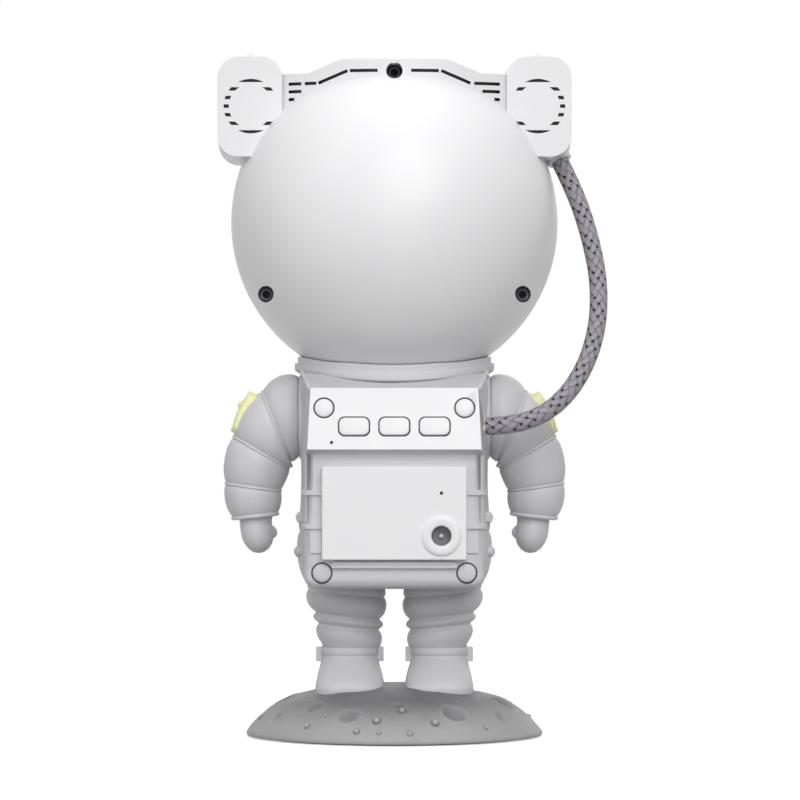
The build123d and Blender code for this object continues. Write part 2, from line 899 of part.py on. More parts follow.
with BuildPart() as pack_form:
    with BuildSketch(Plane.YZ):
        with BuildLine():
            Polyline(*pack_outline, close=True)
        make_face()
    extrude(amount=pack_half_width, both=True)
    fillet(pack_form.edges().filter_by(Axis.Z).group_by(Axis.Y)[0], pack_corner)
    fillet(pack_form.faces().sort_by(Axis.Z)[0].edges().sort_by(Axis.Y)[0], pack_corner)

with BuildPart() as pack_hollow:
    with BuildSketch(Plane.YZ):
        with BuildLine():
            Polyline(*pack_outline, close=True)
        make_face()
        offset(amount=-pack_wall, kind=Kind.INTERSECTION)
    extrude(amount=pack_half_width - pack_wall, both=True)

with BuildPart() as pack_bosses:
    for x, z in cap_points:
        level_rod(x, z, 0, -lip_rear, pack_boss_radius)
    with BuildSketch(slope_plane):
        with Locations((-board_post_offset, board_post_row), (board_post_offset, board_post_row)):
            Circle(board_post_radius)
    extrude(amount=-board_depth)
    add(pack_form.part, mode=Mode.INTERSECT)

with BuildPart() as backpack_shell:
    add(pack_form.part)
    block((-shelf_half_width, shelf_half_width), (-pack_rear - shelf_depth, -pack_rear + pack_wall),
          (panel_bottom - shelf_gap - shelf_height, panel_bottom - shelf_gap))
    for side in (-1, 1):
        block((side * (panel_half_width + fit_gap), side * side_plate_half_width),
              (-pack_rear - shelf_depth / 2, -pack_rear + pack_wall),
              (pack_foot + side_plate_rise, pack_foot + side_plate_rise + side_plate_height))
    add(pack_hollow.part, mode=Mode.SUBTRACT)
    add(pack_bosses.part)
    add(torso_outer.part, mode=Mode.SUBTRACT)
    ball(seat_under_radius, Mode.SUBTRACT)
    for x, z in cap_points:
        level_rod(x, z, -pack_screw_seat, -lip_rear, screw_head_radius + fit_gap, Mode.SUBTRACT)
        level_rod(x, z, 0, -lip_rear, screw_radius + fit_gap, Mode.SUBTRACT)
    for x, z in cap_points[2:]:
        level_rod(x, z, -pack_rear, cap_thickness - pack_rear, cap_radius + cap_gap, Mode.SUBTRACT)
    with BuildSketch(slope_plane):
        with Locations((-upper_cap_offset, upper_cap_row), (upper_cap_offset, upper_cap_row)):
            Circle(cap_radius + cap_gap)
    extrude(amount=-cap_thickness, mode=Mode.SUBTRACT)
    with BuildSketch(slope_plane):
        with Locations((0, button_row)):
            with GridLocations(button_pitch, 1, 3, 1):
                RectangleRounded(
                    button_length + 2 * button_gap,
                    button_height + 2 * button_gap,
                    button_corner,
                )
        with Locations((microphone_offset, microphone_row)):
            Circle(microphone_radius)
    extrude(amount=-pack_wall - lip_rise, mode=Mode.SUBTRACT)
    level_rod(socket_offset, socket_height, -torso_half_depth - pack_wall, -lip_rear,
              jack_radius + fit_gap, Mode.SUBTRACT)
    rod((0, hose_start.Y, hose_start.Z), (lip_rear, hose_start.Y, hose_start.Z),
        hose_ring_radius + fit_gap, Mode.SUBTRACT)

with BuildPart() as pack_straps:
    for rise in strap_band_rises:
        block((-pack_half_width - strap_band_proud, pack_half_width + strap_band_proud),
              (-pack_rear - strap_band_proud, 0), (pack_foot + rise, pack_foot + rise + strap_band_height))
    fillet(pack_straps.edges().filter_by(Axis.Z).group_by(Axis.Y)[0], pack_corner + strap_band_proud)
    add(pack_form.part, mode=Mode.SUBTRACT)
    add(torso_outer.part, mode=Mode.SUBTRACT)
    block((-panel_half_width - fit_gap, panel_half_width + fit_gap), (-lip_rear, 0),
          (pack_foot, slope_foot), Mode.SUBTRACT)
    block((-lip_rear, lip_rear), (-torso_corner, 0), (pack_foot, slope_foot), Mode.SUBTRACT)

with BuildPart() as corner_caps:
    for x, z in cap_points[2:]:
        with Locations(Plane(origin=(x, cap_thickness - pack_rear, z), z_dir=(0, -1, 0))):
            Cylinder(cap_radius, cap_thickness + cap_dome, align=(Align.CENTER, Align.CENTER, Align.MIN))
    with BuildSketch(slope_plane.offset(-cap_thickness)):
        with Locations((-upper_cap_offset, upper_cap_row), (upper_cap_offset, upper_cap_row)):
            Circle(cap_radius)
    extrude(amount=cap_thickness + cap_dome)
    for cap in corner_caps.solids():
        fillet(cap.edges().sort_by(Axis.Y)[0], cap_dome)

with BuildPart() as backpack_screws:
    for x, z in cap_points:
        level_rod(x, z, -pack_screw_seat, -pack_screw_seat - pack_screw_head, screw_head_radius)
        level_rod(x, z, -pack_screw_seat, pack_screw_length - pack_screw_seat, screw_radius)

# Rear panel with its power socket

with BuildPart() as backpack_panel:
    with BuildSketch(rear_plane(-pack_rear)):
        with Locations((0, (panel_bottom + panel_top) / 2)):
            RectangleRounded(2 * panel_half_width, panel_top - panel_bottom, panel_corner)
    extrude(amount=panel_depth)
    fillet(backpack_panel.faces().sort_by(Axis.Y)[0].edges(), panel_corner / 2)
    level_rod(socket_offset, socket_height, 0, -lip_rear, jack_radius + fit_gap, Mode.SUBTRACT)
    indicator_height = panel_bottom + indicator_rise
    level_rod(socket_offset, indicator_height, 0, -lip_rear, indicator_radius, Mode.SUBTRACT)

with BuildPart() as socket_ring:
    with BuildSketch(rear_plane(-panel_rear)):
        with Locations((socket_offset, socket_height)):
            Circle(socket_ring_radius)
            Circle(jack_radius + fit_gap, mode=Mode.SUBTRACT)
    extrude(amount=socket_ring_proud)
    fillet(socket_ring.edges().filter_by(GeomType.CIRCLE).group_by(Axis.Y)[0].sort_by(SortBy.RADIUS)[-1],
           socket_ring_proud / 2)

with BuildPart() as dc_jack:
    level_rod(socket_offset, socket_height, -jack_front, jack_length - jack_front, jack_radius)
    level_rod(socket_offset, socket_height, -jack_front, jack_bore_depth - jack_front,
              jack_bore_radius, Mode.SUBTRACT)
    pin_floor = jack_bore_depth - jack_front
    level_rod(socket_offset, socket_height, pin_floor, pin_floor - jack_pin_length, jack_pin_radius)

# Control face: three sprung buttons over switches on a board

switch_top = switch_height - board_depth
button_columns = {"button_left": -button_pitch, "button_middle": 0, "button_right": button_pitch}
buttons = {}
for name, column in button_columns.items():
    with BuildPart() as button:
        with BuildSketch(slope_plane.offset(-pack_wall - button_gap)):
            with Locations((column, button_row)):
                RectangleRounded(button_length, button_height, button_corner - button_gap)
        extrude(amount=pack_wall + button_gap + button_proud)
        fillet(button.faces().sort_by(Axis.Y)[0].edges(), button_proud / 2)
        with BuildSketch(slope_plane.offset(-pack_wall - button_gap)):
            with Locations((column, button_row)):
                RectangleRounded(
                    button_length + 2 * button_flange,
                    button_height + 2 * button_flange,
                    button_corner,
                )
        extrude(amount=-button_flange_thickness)
        with BuildSketch(slope_plane.offset(switch_top - moving_gap)):
            with Locations((column, button_row)):
                Circle(stem_radius)
        extrude(amount=-switch_top - pack_wall)
    buttons[name] = button.part

with BuildPart() as control_board:
    with BuildSketch(slope_plane.offset(-board_depth - board_thickness)):
        RectangleRounded(board_length, board_height, button_corner / 2)
    extrude(amount=board_thickness)

with BuildPart() as key_switches:
    with BuildSketch(slope_plane.offset(-board_depth)):
        with Locations((0, button_row)):
            with GridLocations(button_pitch, 1, 3, 1):
                Rectangle(switch_size, switch_size)
    extrude(amount=switch_height)
    with BuildSketch(slope_plane.offset(switch_top)):
        with Locations((0, button_row)):
            with GridLocations(button_pitch, 1, 3, 1):
                Circle(stem_radius + moving_gap)
    extrude(amount=-button_travel - 2 * moving_gap, mode=Mode.SUBTRACT)

# Arms, built on the right and mirrored to the left

arm_face = shoulder_face + moving_gap
glove_centre = (arm_face + glove_out, 0, shoulder_height - glove_drop)
thumb_way = Vector(-thumb_reach, thumb_forward, -thumb_fall)
badge_centre = Vector(arm_face + badge_out, 0, shoulder_height - badge_drop)
badge_normal = Vector(math.cos(math.radians(badge_slope)), 0, math.sin(math.radians(badge_slope)))
badge_foot = badge_centre - badge_normal * badge_radius

arm_ring_planes = [
    Plane(
        origin=(arm_face + out, 0, shoulder_height - drop),
        x_dir=(0, 1, 0),
        z_dir=(math.cos(math.radians(slope)), 0, -math.sin(math.radians(slope))),
    )
    for out, drop, radius, slope in arm_rings
]
arm_ring_radii = [radius for out, drop, radius, slope in arm_rings]

with BuildPart() as arm_right:
    for first in range(0, len(arm_rings) - 1, 2):
        for ring in range(first, first + 3):
            with BuildSketch(arm_ring_planes[ring]):
                Circle(arm_ring_radii[ring])
        loft()
    for seam in range(2, len(arm_rings), 2):
        with Locations(arm_ring_planes[seam]):
            Cylinder(arm_ring_radii[seam] + piping_radius, 2 * piping_radius)
    rod(arm_ring_planes[-1].origin, glove_centre, glove_radius)
    with Locations(glove_centre):
        Sphere(glove_radius)
    with Locations(Plane(origin=glove_centre, z_dir=thumb_way)):
        Cone(thumb_radius, thumb_tip_radius, thumb_way.length, align=(Align.CENTER, Align.CENTER, Align.MIN))
    rod((arm_face, 0, shoulder_height), (arm_peg_start, 0, shoulder_height), arm_peg_radius)
    rod((arm_peg_start, 0, shoulder_height), (arm_peg_start + arm_peg_head_thickness, 0, shoulder_height),
        arm_peg_head_radius)

with BuildPart() as arm_left:
    mirror(arm_right.part, about=Plane.YZ)

with BuildPart() as arm_badge_right:
    rod(badge_foot, badge_centre, badge_radius)
    fillet(arm_badge_right.edges().sort_by(Axis.X)[-1], badge_thickness / 2)
    rod(badge_foot, badge_centre + badge_normal * badge_thickness, badge_radius / 3)
    add(arm_right.part, mode=Mode.SUBTRACT)
    add(arm_badge_right.solids().sort_by(SortBy.VOLUME)[-1], mode=Mode.INTERSECT)

with BuildPart() as arm_badge_left:
    mirror(arm_badge_right.part, about=Plane.YZ)

# Head: two half shells with a flat seat for the lamp bar

crown_span = (head_height + crown_flat, head_height + 2 * head_radius)
vault_span = (crown_span[0] - head_wall, crown_span[1])
all_round = (-2 * head_radius, 2 * head_radius)
head_screw_points = on_circle(head_screw_bearings, head_screw_circle)
visor_opening = visor_column(0)
visor_plug = visor_column(-fit_gap)
visor_backing = visor_column(visor_flange)
visor_surround = visor_column(frame_width)

with BuildPart() as head_skin:
    ball(head_radius)
    block(all_round, all_round, crown_span, Mode.SUBTRACT)

with BuildPart() as head_cavity:
    ball(head_inner_radius)
    block(all_round, all_round, vault_span, Mode.SUBTRACT)

with BuildPart() as head_bosses:
    for x, rise in head_screw_points:
        front_end = chassis_thickness + front_boss_length
        head_rod(x, rise, -head_radius, front_end, head_boss_radius)
    add(head_skin.part, mode=Mode.INTERSECT)

with BuildPart() as optics_chassis:
    with BuildSketch(rear_plane(0)):
        with Locations((0, head_height)):
            Circle(chassis_radius)
        for bearing in head_screw_bearings:
            with Locations(Location((0, head_height, 0), (0, 0, bearing))):
                Rectangle(head_screw_circle, 2 * chassis_ear_half_width, align=(Align.MIN, Align.CENTER))
                with Locations((head_screw_circle, 0)):
                    Circle(chassis_ear_half_width)
    extrude(amount=-chassis_thickness)
    for x, rise in head_screw_points:
        head_rod(x, rise, -chassis_thickness, 2 * chassis_thickness,
                 head_screw_radius + fit_gap, Mode.SUBTRACT)
    head_rod(pinion_offset, pinion_rise, 0, chassis_thickness,
             pinion_shaft_radius + moving_gap, Mode.SUBTRACT)
    for side in (-1, 1):
        x = side * (logic_half_width - 2 * logic_post_radius)
        rise = -logic_drop - logic_height / 2
        head_rod(x, rise, 0, -logic_post_length, logic_post_radius)

with BuildPart() as head_shells:
    add(head_skin.part)
    add(head_cavity.part, mode=Mode.SUBTRACT)
    add(head_bosses.part)
    add(visor_opening, mode=Mode.SUBTRACT)
    for x, rise in head_screw_points:
        head_rod(x, rise, -head_screw_seat, -head_radius, head_screw_head_radius + fit_gap, Mode.SUBTRACT)
        head_rod(x, rise, -head_radius, head_screw_reach + fit_gap,
                 head_screw_radius + fit_gap, Mode.SUBTRACT)

with BuildPart() as head_rear_shell:
    add(head_shells.part)
    split(bisect_by=Plane.XZ, keep=Keep.TOP)

with BuildPart() as head_front_shell:
    add(head_shells.part)
    split(bisect_by=Plane.XZ, keep=Keep.BOTTOM)
    add(optics_chassis.part, mode=Mode.SUBTRACT)

with BuildPart() as head_screws:
    for x, rise in head_screw_points:
        head_rod(x, rise, -head_screw_seat - head_screw_head_height, -head_screw_seat,
                 head_screw_head_radius)
        head_rod(x, rise, -head_screw_seat, head_screw_reach, head_screw_radius)

# Ear boxes with their vents, screens, covers and lamps, built on the right and mirrored to the left

ear_form = ear_solid(0, 0, ear_depth)
ear_hollow = ear_solid(ear_wall, ear_wall, ear_depth)
ear_lid = ear_solid(0, ear_depth, ear_depth + ear_cover_thickness)
ear_top = head_height + ear_low + ear_height
ear_growth = ear_depth * math.tan(math.radians(ear_draft))
ear_front = ear_depth - ear_rear
rib_sink = ear_rib_half_width - ear_rib_proud
hose_end = hose_plane.from_local_coords((*hose_corners[-1], 0))
hose_before = hose_plane.from_local_coords((*hose_corners[-2], 0))
hose_end_way = (hose_end - hose_before).normalized()
ferrule_foot = hose_end - hose_end_way * hose_ring_proud

with BuildPart() as ear_box_plain:
    add(ear_form)
    rod((ear_middle, ear_corner - ear_rear, ear_top - rib_sink),
        (ear_middle, ear_front - ear_corner, ear_top - rib_sink + ear_growth), ear_rib_half_width)
    add(ear_hollow, mode=Mode.SUBTRACT)
    ball(head_radius, Mode.SUBTRACT)
    with BuildSketch(rear_plane(-ear_rear)):
        with Locations((vent_middle, head_height + vent_centre_rise)):
            for row in range(-3, 4):
                with Locations((0, row * vent_pitch)):
                    Rectangle(vent_radius, vent_slot, align=(Align.MIN, Align.CENTER))
                    if abs(row) > 1:
                        Rectangle(vent_radius, vent_slot, align=(Align.MAX, Align.CENTER))
            Circle(vent_radius - vent_width, mode=Mode.SUBTRACT)
            Circle(vent_radius, mode=Mode.INTERSECT)
    extrude(amount=-ear_wall, mode=Mode.SUBTRACT)

with BuildPart() as ear_box_left:
    mirror(ear_box_plain.part, about=Plane.YZ)

with BuildPart() as hose_ferrule:
    rod(ferrule_foot, hose_end + hose_end_way * hose_ring_proud, hose_ring_radius)
    rod(ferrule_foot, hose_end + hose_end_way * fit_gap, hose_radius + fit_gap, Mode.SUBTRACT)

with BuildPart() as ear_box_right:
    add(ear_box_plain.part)
    rod(ferrule_foot, hose_end + hose_end_way * 2 * hose_ring_proud,
        hose_ring_radius + fit_gap, Mode.SUBTRACT)

with BuildPart() as ear_covers:
    add(ear_lid)
    ball(head_radius, Mode.SUBTRACT)
    head_rod(ear_middle, ear_centre_rise, 0, head_radius, ear_lens_radius + fit_gap, Mode.SUBTRACT)
    mirror(about=Plane.YZ)

with BuildPart() as ear_lamp_lenses:
    for side in (-1, 1):
        head_rod(side * ear_middle, ear_centre_rise, ear_front, ear_front + ear_lens_thickness,
                 ear_lens_radius)
    fillet(ear_lamp_lenses.edges().group_by(Axis.Y)[-1], ear_lens_thickness / 4)

# Lamp bar between the ears

bar_form = bar_solid(0)
bar_hollow = bar_solid(bar_wall)
ear_form_left = mirror(ear_form, about=Plane.YZ)

with BuildPart() as lamp_bar:
    add(bar_form)
    add(bar_hollow, mode=Mode.SUBTRACT)
    add(head_skin.part, mode=Mode.SUBTRACT)
    add(ear_form, mode=Mode.SUBTRACT)
    add(ear_form_left, mode=Mode.SUBTRACT)
    for x, rise in head_screw_points:
        head_rod(x, rise, 0, -head_radius, head_screw_head_radius + fit_gap, Mode.SUBTRACT)
    with BuildSketch(rear_plane(-head_radius)):
        for start, end, row in bar_row_slots:
            with Locations(((start + end) / 2, head_height + bar_row_rise - row * bar_row_pitch)):
                Rectangle(end - start, bar_slot)
        for side in (-1, 1):
            start, end = bar_ridge_slot
            with Locations((side * (start + end) / 2, head_height + bar_ridge_rise)):
                Rectangle(end - start, bar_slot)
            start, end = bar_slant_slot
            fall = bar_ridge_rise - bar_row_rise
            bar_slant = math.degrees(math.atan2(fall, end - start))
            with Locations((side * (start + end) / 2, head_height + (bar_ridge_rise + bar_row_rise) / 2)):
                Rectangle(math.hypot(end - start, fall), bar_slot, -side * bar_slant)
    extrude(amount=-head_radius, mode=Mode.SUBTRACT)

with BuildPart() as bar_screen:
    add(bar_hollow)
    with Locations((0, screen_thickness, 0)):
        add(bar_hollow, mode=Mode.SUBTRACT)
    block(all_round, (0, 2 * head_radius), (head_height, head_height + 2 * head_radius), Mode.SUBTRACT)
    ball(head_radius, Mode.SUBTRACT)
    add(ear_form, mode=Mode.SUBTRACT)
    add(ear_form_left, mode=Mode.SUBTRACT)
    for x, rise in head_screw_points:
        head_rod(x, rise, 0, -head_radius, head_screw_head_radius + fit_gap, Mode.SUBTRACT)

with BuildPart() as vent_screens:
    head_rod(vent_middle, vent_centre_rise, ear_wall - ear_rear, ear_wall + screen_thickness - ear_rear,
             vent_radius + vent_width)
    add(ear_hollow, mode=Mode.INTERSECT)
    ball(head_radius, Mode.SUBTRACT)
    mirror(about=Plane.YZ)
    add(bar_screen.part)

# Visor in the face, with the openings for the projection lens and the star window

window_front = math.sqrt(visor_radius**2 - laser_drop**2)
window_back = math.sqrt(visor_inner_radius**2 - laser_drop**2) - window_radius / 4
flange_radius = barrel_radius + barrel_flange
flange_front = math.sqrt(visor_inner_radius**2 - flange_radius**2) - fit_gap

with BuildPart() as visor_frame:
    add(visor_surround)
    add(visor_opening, mode=Mode.SUBTRACT)
    ball(head_radius + frame_proud, Mode.INTERSECT)
    ball(head_radius, Mode.SUBTRACT)

with BuildPart() as visor:
    add(visor_backing)
    ball(head_inner_radius - fit_gap, Mode.INTERSECT)
    add(visor_plug)
    ball(visor_radius, Mode.INTERSECT)
    ball(visor_inner_radius, Mode.SUBTRACT)
    head_rod(0, 0, 0, head_radius, barrel_radius + fit_gap, Mode.SUBTRACT)
    head_rod(0, -laser_drop, 0, head_radius, window_radius + fit_gap, Mode.SUBTRACT)

with BuildPart() as star_window:
    head_rod(0, -laser_drop, window_back, window_front, window_radius)

# Projection optics, from the lamp at the middle to the lens in the visor

lens_radius = barrel_radius - barrel_wall - fit_gap
lens_seat = barrel_end - lens_thickness - lens_dome
lens_curve = (lens_radius**2 + lens_dome**2) / (2 * lens_dome)
glass_radius = gear_pitch_radius - tooth_root * gear_module - gear_rim
gear_end = gear_start + gear_thickness
hub_end = gear_start + gear_hub_length

with BuildPart() as lens_barrel:
    head_rod(0, 0, barrel_start, barrel_end, barrel_radius)
    head_rod(0, 0, flange_front - barrel_flange_thickness, flange_front, flange_radius)
    head_rod(0, 0, barrel_start, barrel_end, lens_radius - lens_ledge, Mode.SUBTRACT)
    head_rod(0, 0, lens_seat, barrel_end, lens_radius + fit_gap, Mode.SUBTRACT)

with BuildPart() as lens_bezel:
    head_rod(0, 0, flange_front, lens_face, barrel_radius + fit_gap + bezel_width)
    fillet(lens_bezel.edges().sort_by(Axis.Y)[-1], bezel_width / 2)
    head_rod(0, 0, flange_front, lens_face, barrel_radius + fit_gap, Mode.SUBTRACT)
    ball(visor_radius, Mode.SUBTRACT)

with BuildPart() as projection_lens:
    head_rod(0, 0, lens_seat, barrel_end + lens_dome, lens_radius)
    with Locations((0, barrel_end - lens_curve, head_height)):
        Sphere(lens_curve, mode=Mode.INTERSECT)

with BuildPart() as heat_sink:
    block((-heat_sink_half_size, heat_sink_half_size), (-heat_sink_base, 0),
          (head_height - heat_sink_half_size, head_height + heat_sink_half_size))
    fin_pitch = (2 * heat_sink_half_size - heat_sink_fin) / (heat_sink_fins - 1)
    for fin in range(heat_sink_fins):
        x = fin * fin_pitch - heat_sink_half_size
        block((x, x + heat_sink_fin), (-heat_sink_depth, 0),
              (head_height - heat_sink_half_size, head_height + heat_sink_half_size))

with BuildPart() as led_board:
    head_rod(0, 0, chassis_thickness, chassis_thickness + led_board_thickness, led_board_radius)
    head_rod(0, 0, chassis_thickness, chassis_thickness + led_board_thickness + led_radius, led_radius)
    fillet(led_board.edges().sort_by(Axis.Y)[-1], led_radius / 2)

with BuildPart() as disc_axle:
    head_rod(disc_offset, disc_rise, chassis_thickness, gear_start - moving_gap, axle_flange_radius)
    head_rod(disc_offset, disc_rise, chassis_thickness, hub_end + moving_gap, axle_radius)
    head_rod(disc_offset, disc_rise, hub_end + moving_gap, hub_end + moving_gap + axle_head_thickness,
             axle_flange_radius)

with BuildPart() as nebula_gear:
    with BuildSketch(rear_plane(gear_start)):
        with Locations((disc_offset, head_height + disc_rise)):
            Polygon(*gear_outline(gear_teeth, mesh_bearing), align=None)
            Circle(glass_radius - glass_ledge, mode=Mode.SUBTRACT)
    extrude(amount=-gear_thickness)
    with BuildSketch(rear_plane(gear_end)):
        for bearing in spoke_bearings:
            with Locations(Location((disc_offset, head_height + disc_rise, 0), (0, 0, bearing))):
                Rectangle(glass_radius, spoke_width, align=(Align.MIN, Align.CENTER))
    extrude(amount=gear_thickness - glass_thickness - fit_gap)
    head_rod(disc_offset, disc_rise, gear_start, gear_start + glass_thickness + fit_gap,
             glass_radius + fit_gap, Mode.SUBTRACT)
    head_rod(disc_offset, disc_rise, gear_start, hub_end, gear_hub_radius)
    head_rod(disc_offset, disc_rise, gear_start, hub_end, axle_radius + running_gap, Mode.SUBTRACT)

with BuildPart() as ripple_glass:
    head_rod(disc_offset, disc_rise, gear_start, gear_start + glass_thickness, glass_radius)
    head_rod(disc_offset, disc_rise, gear_start, gear_start + glass_thickness,
             gear_hub_radius + fit_gap, Mode.SUBTRACT)

with BuildPart() as drive_pinion:
    with BuildSketch(rear_plane(gear_start)):
        with Locations((pinion_offset, head_height + pinion_rise)):
            Polygon(*gear_outline(pinion_teeth, mesh_bearing + 180 + 180 / pinion_teeth), align=None)
    extrude(amount=-gear_thickness)
    head_rod(pinion_offset, pinion_rise, moving_gap - motor_bore_depth, gear_end, pinion_shaft_radius)

with BuildPart() as gear_motor:
    head_rod(pinion_offset, pinion_rise, -motor_length, 0, motor_radius)
    chamfer(gear_motor.edges().sort_by(Axis.Y)[0], motor_radius / 10)
    head_rod(pinion_offset, pinion_rise, -motor_bore_depth, 0,
             pinion_shaft_radius + running_gap, Mode.SUBTRACT)

with BuildPart() as laser_module:
    head_rod(0, -laser_drop, chassis_thickness, chassis_thickness + laser_length, laser_radius)
    head_rod(0, -laser_drop, chassis_thickness, window_back - fit_gap, laser_snout_radius)

with BuildPart() as head_circuit_board:
    block((-logic_half_width, logic_half_width), (-logic_post_length - logic_thickness, -logic_post_length),
          (head_height - logic_drop - logic_height, head_height - logic_drop))

# Magnet in the foot of the head

cup_foot = head_height - head_inner_radius
cup_top = cup_foot + magnet_cup_height
magnet_foot = cup_top - head_magnet_thickness

with BuildPart() as magnet_cup:
    post(0, 0, cup_foot, cup_top, magnet_cup_radius)
    ball(head_inner_radius, Mode.INTERSECT)
    post(0, 0, magnet_foot, cup_top, head_magnet_radius + fit_gap, Mode.SUBTRACT)

with BuildPart() as head_magnet:
    post(0, 0, magnet_foot, cup_top - fit_gap, head_magnet_radius)

# Power hose from the side of the backpack to the right ear, along straight runs joined by tangent arcs

hose_bends = []
for before, corner, after in zip(hose_corners, hose_corners[1:], hose_corners[2:]):
    run_in = Vector(*corner) - Vector(*before)
    run_out = Vector(*after) - Vector(*corner)
    turn = math.radians(run_in.get_angle(run_out))
    hose_bends.append(hose_bend_share * min(run_in.length, run_out.length) / math.tan(turn / 2))
print("hose bend radii:", [round(bend, 1) for bend in hose_bends])

with BuildPart() as power_hose:
    with BuildLine(hose_plane) as hose_route:
        FilletPolyline(*hose_corners, radius=hose_bends)
    with BuildSketch(Plane(origin=hose_route.line @ 0, z_dir=hose_route.line % 0)):
        Circle(hose_radius)
    sweep(path=hose_route.line)
hose_length = sum(edge.length for edge in hose_route.edges())
hose_share = power_hose.part.volume / (hose_length * math.pi * hose_radius**2)
print("hose length and volume share:", round(hose_length, 1), round(hose_share, 4))

with BuildPart() as hose_grommet:
    rod((pack_half_width - pack_wall, hose_start.Y, hose_start.Z),
        (pack_half_width + hose_ring_proud, hose_start.Y, hose_start.Z), hose_ring_radius)
    rod((pack_half_width - fit_gap, hose_start.Y, hose_start.Z),
        (pack_half_width + hose_ring_proud, hose_start.Y, hose_start.Z),
        hose_radius + fit_gap, Mode.SUBTRACT)

# One file per piece

pieces = {
    "base_shell": base_shell.part,
    "base_plate": base_plate.part,
    "base_pad": base_pad.part,
    "base_weight": base_weight.part,
    "base_screws": base_screws.part,
    "boots": boots.part,
    "boot_screws": boot_screws.part,
    "legs": legs.part,
    "torso_rear_shell": torso_rear_shell.part,
    "torso_front_shell": torso_front_shell.part,
    "chest_unit": chest_unit.part,
    "neck_collar": neck_collar.part,
    "swivel_dish": swivel_dish.part,
    "neck_magnet": neck_magnet.part,
    "backpack_shell": backpack_shell.part,
    "pack_straps": pack_straps.part,
    "corner_caps": corner_caps.part,
    "backpack_screws": backpack_screws.part,
    "backpack_panel": backpack_panel.part,
    "socket_ring": socket_ring.part,
    "dc_jack": dc_jack.part,
    **buttons,
    "control_board": control_board.part,
    "key_switches": key_switches.part,
    "arm_left": arm_left.part,
    "arm_right": arm_right.part,
    "arm_badge_left": arm_badge_left.part,
    "arm_badge_right": arm_badge_right.part,
    "head_rear_shell": head_rear_shell.part,
    "head_front_shell": head_front_shell.part,
    "head_screws": head_screws.part,
    "ear_box_left": ear_box_left.part,
    "ear_box_right": ear_box_right.part,
    "ear_covers": ear_covers.part,
    "ear_lamp_lenses": ear_lamp_lenses.part,
    "lamp_bar": lamp_bar.part,
    "vent_screens": vent_screens.part,
    "visor_frame": visor_frame.part,
    "visor": visor.part,
    "star_window": star_window.part,
    "lens_barrel": lens_barrel.part,
    "lens_bezel": lens_bezel.part,
    "projection_lens": projection_lens.part,
    "optics_chassis": optics_chassis.part,
    "heat_sink": heat_sink.part,
    "led_board": led_board.part,
    "disc_axle": disc_axle.part,
    "nebula_gear": nebula_gear.part,
    "ripple_glass": ripple_glass.part,
    "drive_pinion": drive_pinion.part,
    "gear_motor": gear_motor.part,
    "laser_module": laser_module.part,
    "head_circuit_board": head_circuit_board.part,
    "magnet_cup": magnet_cup.part,
    "head_magnet": head_magnet.part,
    "hose_ferrule": hose_ferrule.part,
    "hose_grommet": hose_grommet.part,
    "power_hose": power_hose.part,
}

for name, piece in pieces.items():
    piece.label = name
    export_step(piece, f"parts/{name}.step")
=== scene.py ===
import json
from math import asin, copysign, cos, degrees, exp, hypot, pi, radians, sin, sqrt
from types import SimpleNamespace as Named

import bmesh
import bpy
from bmesh import ops
from mathutils import Matrix, Vector, noise


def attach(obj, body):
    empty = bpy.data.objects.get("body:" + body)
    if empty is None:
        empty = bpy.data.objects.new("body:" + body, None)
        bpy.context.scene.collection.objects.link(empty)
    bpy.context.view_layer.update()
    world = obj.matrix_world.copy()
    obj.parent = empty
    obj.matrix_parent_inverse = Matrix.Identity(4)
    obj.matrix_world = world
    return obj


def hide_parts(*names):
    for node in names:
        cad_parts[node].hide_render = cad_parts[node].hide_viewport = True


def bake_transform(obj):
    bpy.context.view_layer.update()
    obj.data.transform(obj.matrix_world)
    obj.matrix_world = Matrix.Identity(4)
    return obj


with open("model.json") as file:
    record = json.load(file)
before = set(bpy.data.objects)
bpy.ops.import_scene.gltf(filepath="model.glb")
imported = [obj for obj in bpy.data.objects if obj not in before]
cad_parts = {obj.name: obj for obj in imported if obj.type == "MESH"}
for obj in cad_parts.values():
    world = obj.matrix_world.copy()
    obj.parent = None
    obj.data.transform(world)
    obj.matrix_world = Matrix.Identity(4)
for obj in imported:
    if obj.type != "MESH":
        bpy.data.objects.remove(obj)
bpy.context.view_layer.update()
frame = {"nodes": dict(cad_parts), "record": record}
nodes = frame["nodes"]
slotOf = {part["node"]: part["material_slot"] for part in frame["record"]["subparts"]}
bodyOf = {node: body for body, group in frame["record"]["behaviour"]["bodies"].items() for node in group}
scene = bpy.context.scene
mm = 0.001
weld = 2e-6
headHeight = 171.3  # the middle of the head, in mm like the sizes below
shoulderHeight = 106.4
print("frame loaded:", len(nodes), "nodes")

# camera, where the photograph was taken from
viewpoint = Named(away=1500, side=1.84, height=112.06, span=267.2, sensor=36, farthest=30)

lensData = bpy.data.cameras.new("photoCamera")
lensData.sensor_width = viewpoint.sensor
lensData.lens = viewpoint.sensor * viewpoint.away / viewpoint.span
lensData.clip_end = viewpoint.farthest
camera = bpy.data.objects.new("photoCamera", lensData)
camera.location = (viewpoint.side * mm, -viewpoint.away * mm, viewpoint.height * mm)
camera.rotation_euler = (radians(90), 0, 0)
scene.collection.objects.link(camera)
scene.camera = camera
scene.view_settings.view_transform = "Standard"
print("camera placed")


# shader maths: a wire wraps one socket, and expressions on wires add nodes
def mathsNode(operation, reflected=False):
    def apply(wire, other=0.0):
        pair = (other, wire) if reflected else (wire, other)
        return wire.node("Math", dict(enumerate(pair)), {"operation": operation})
    return apply


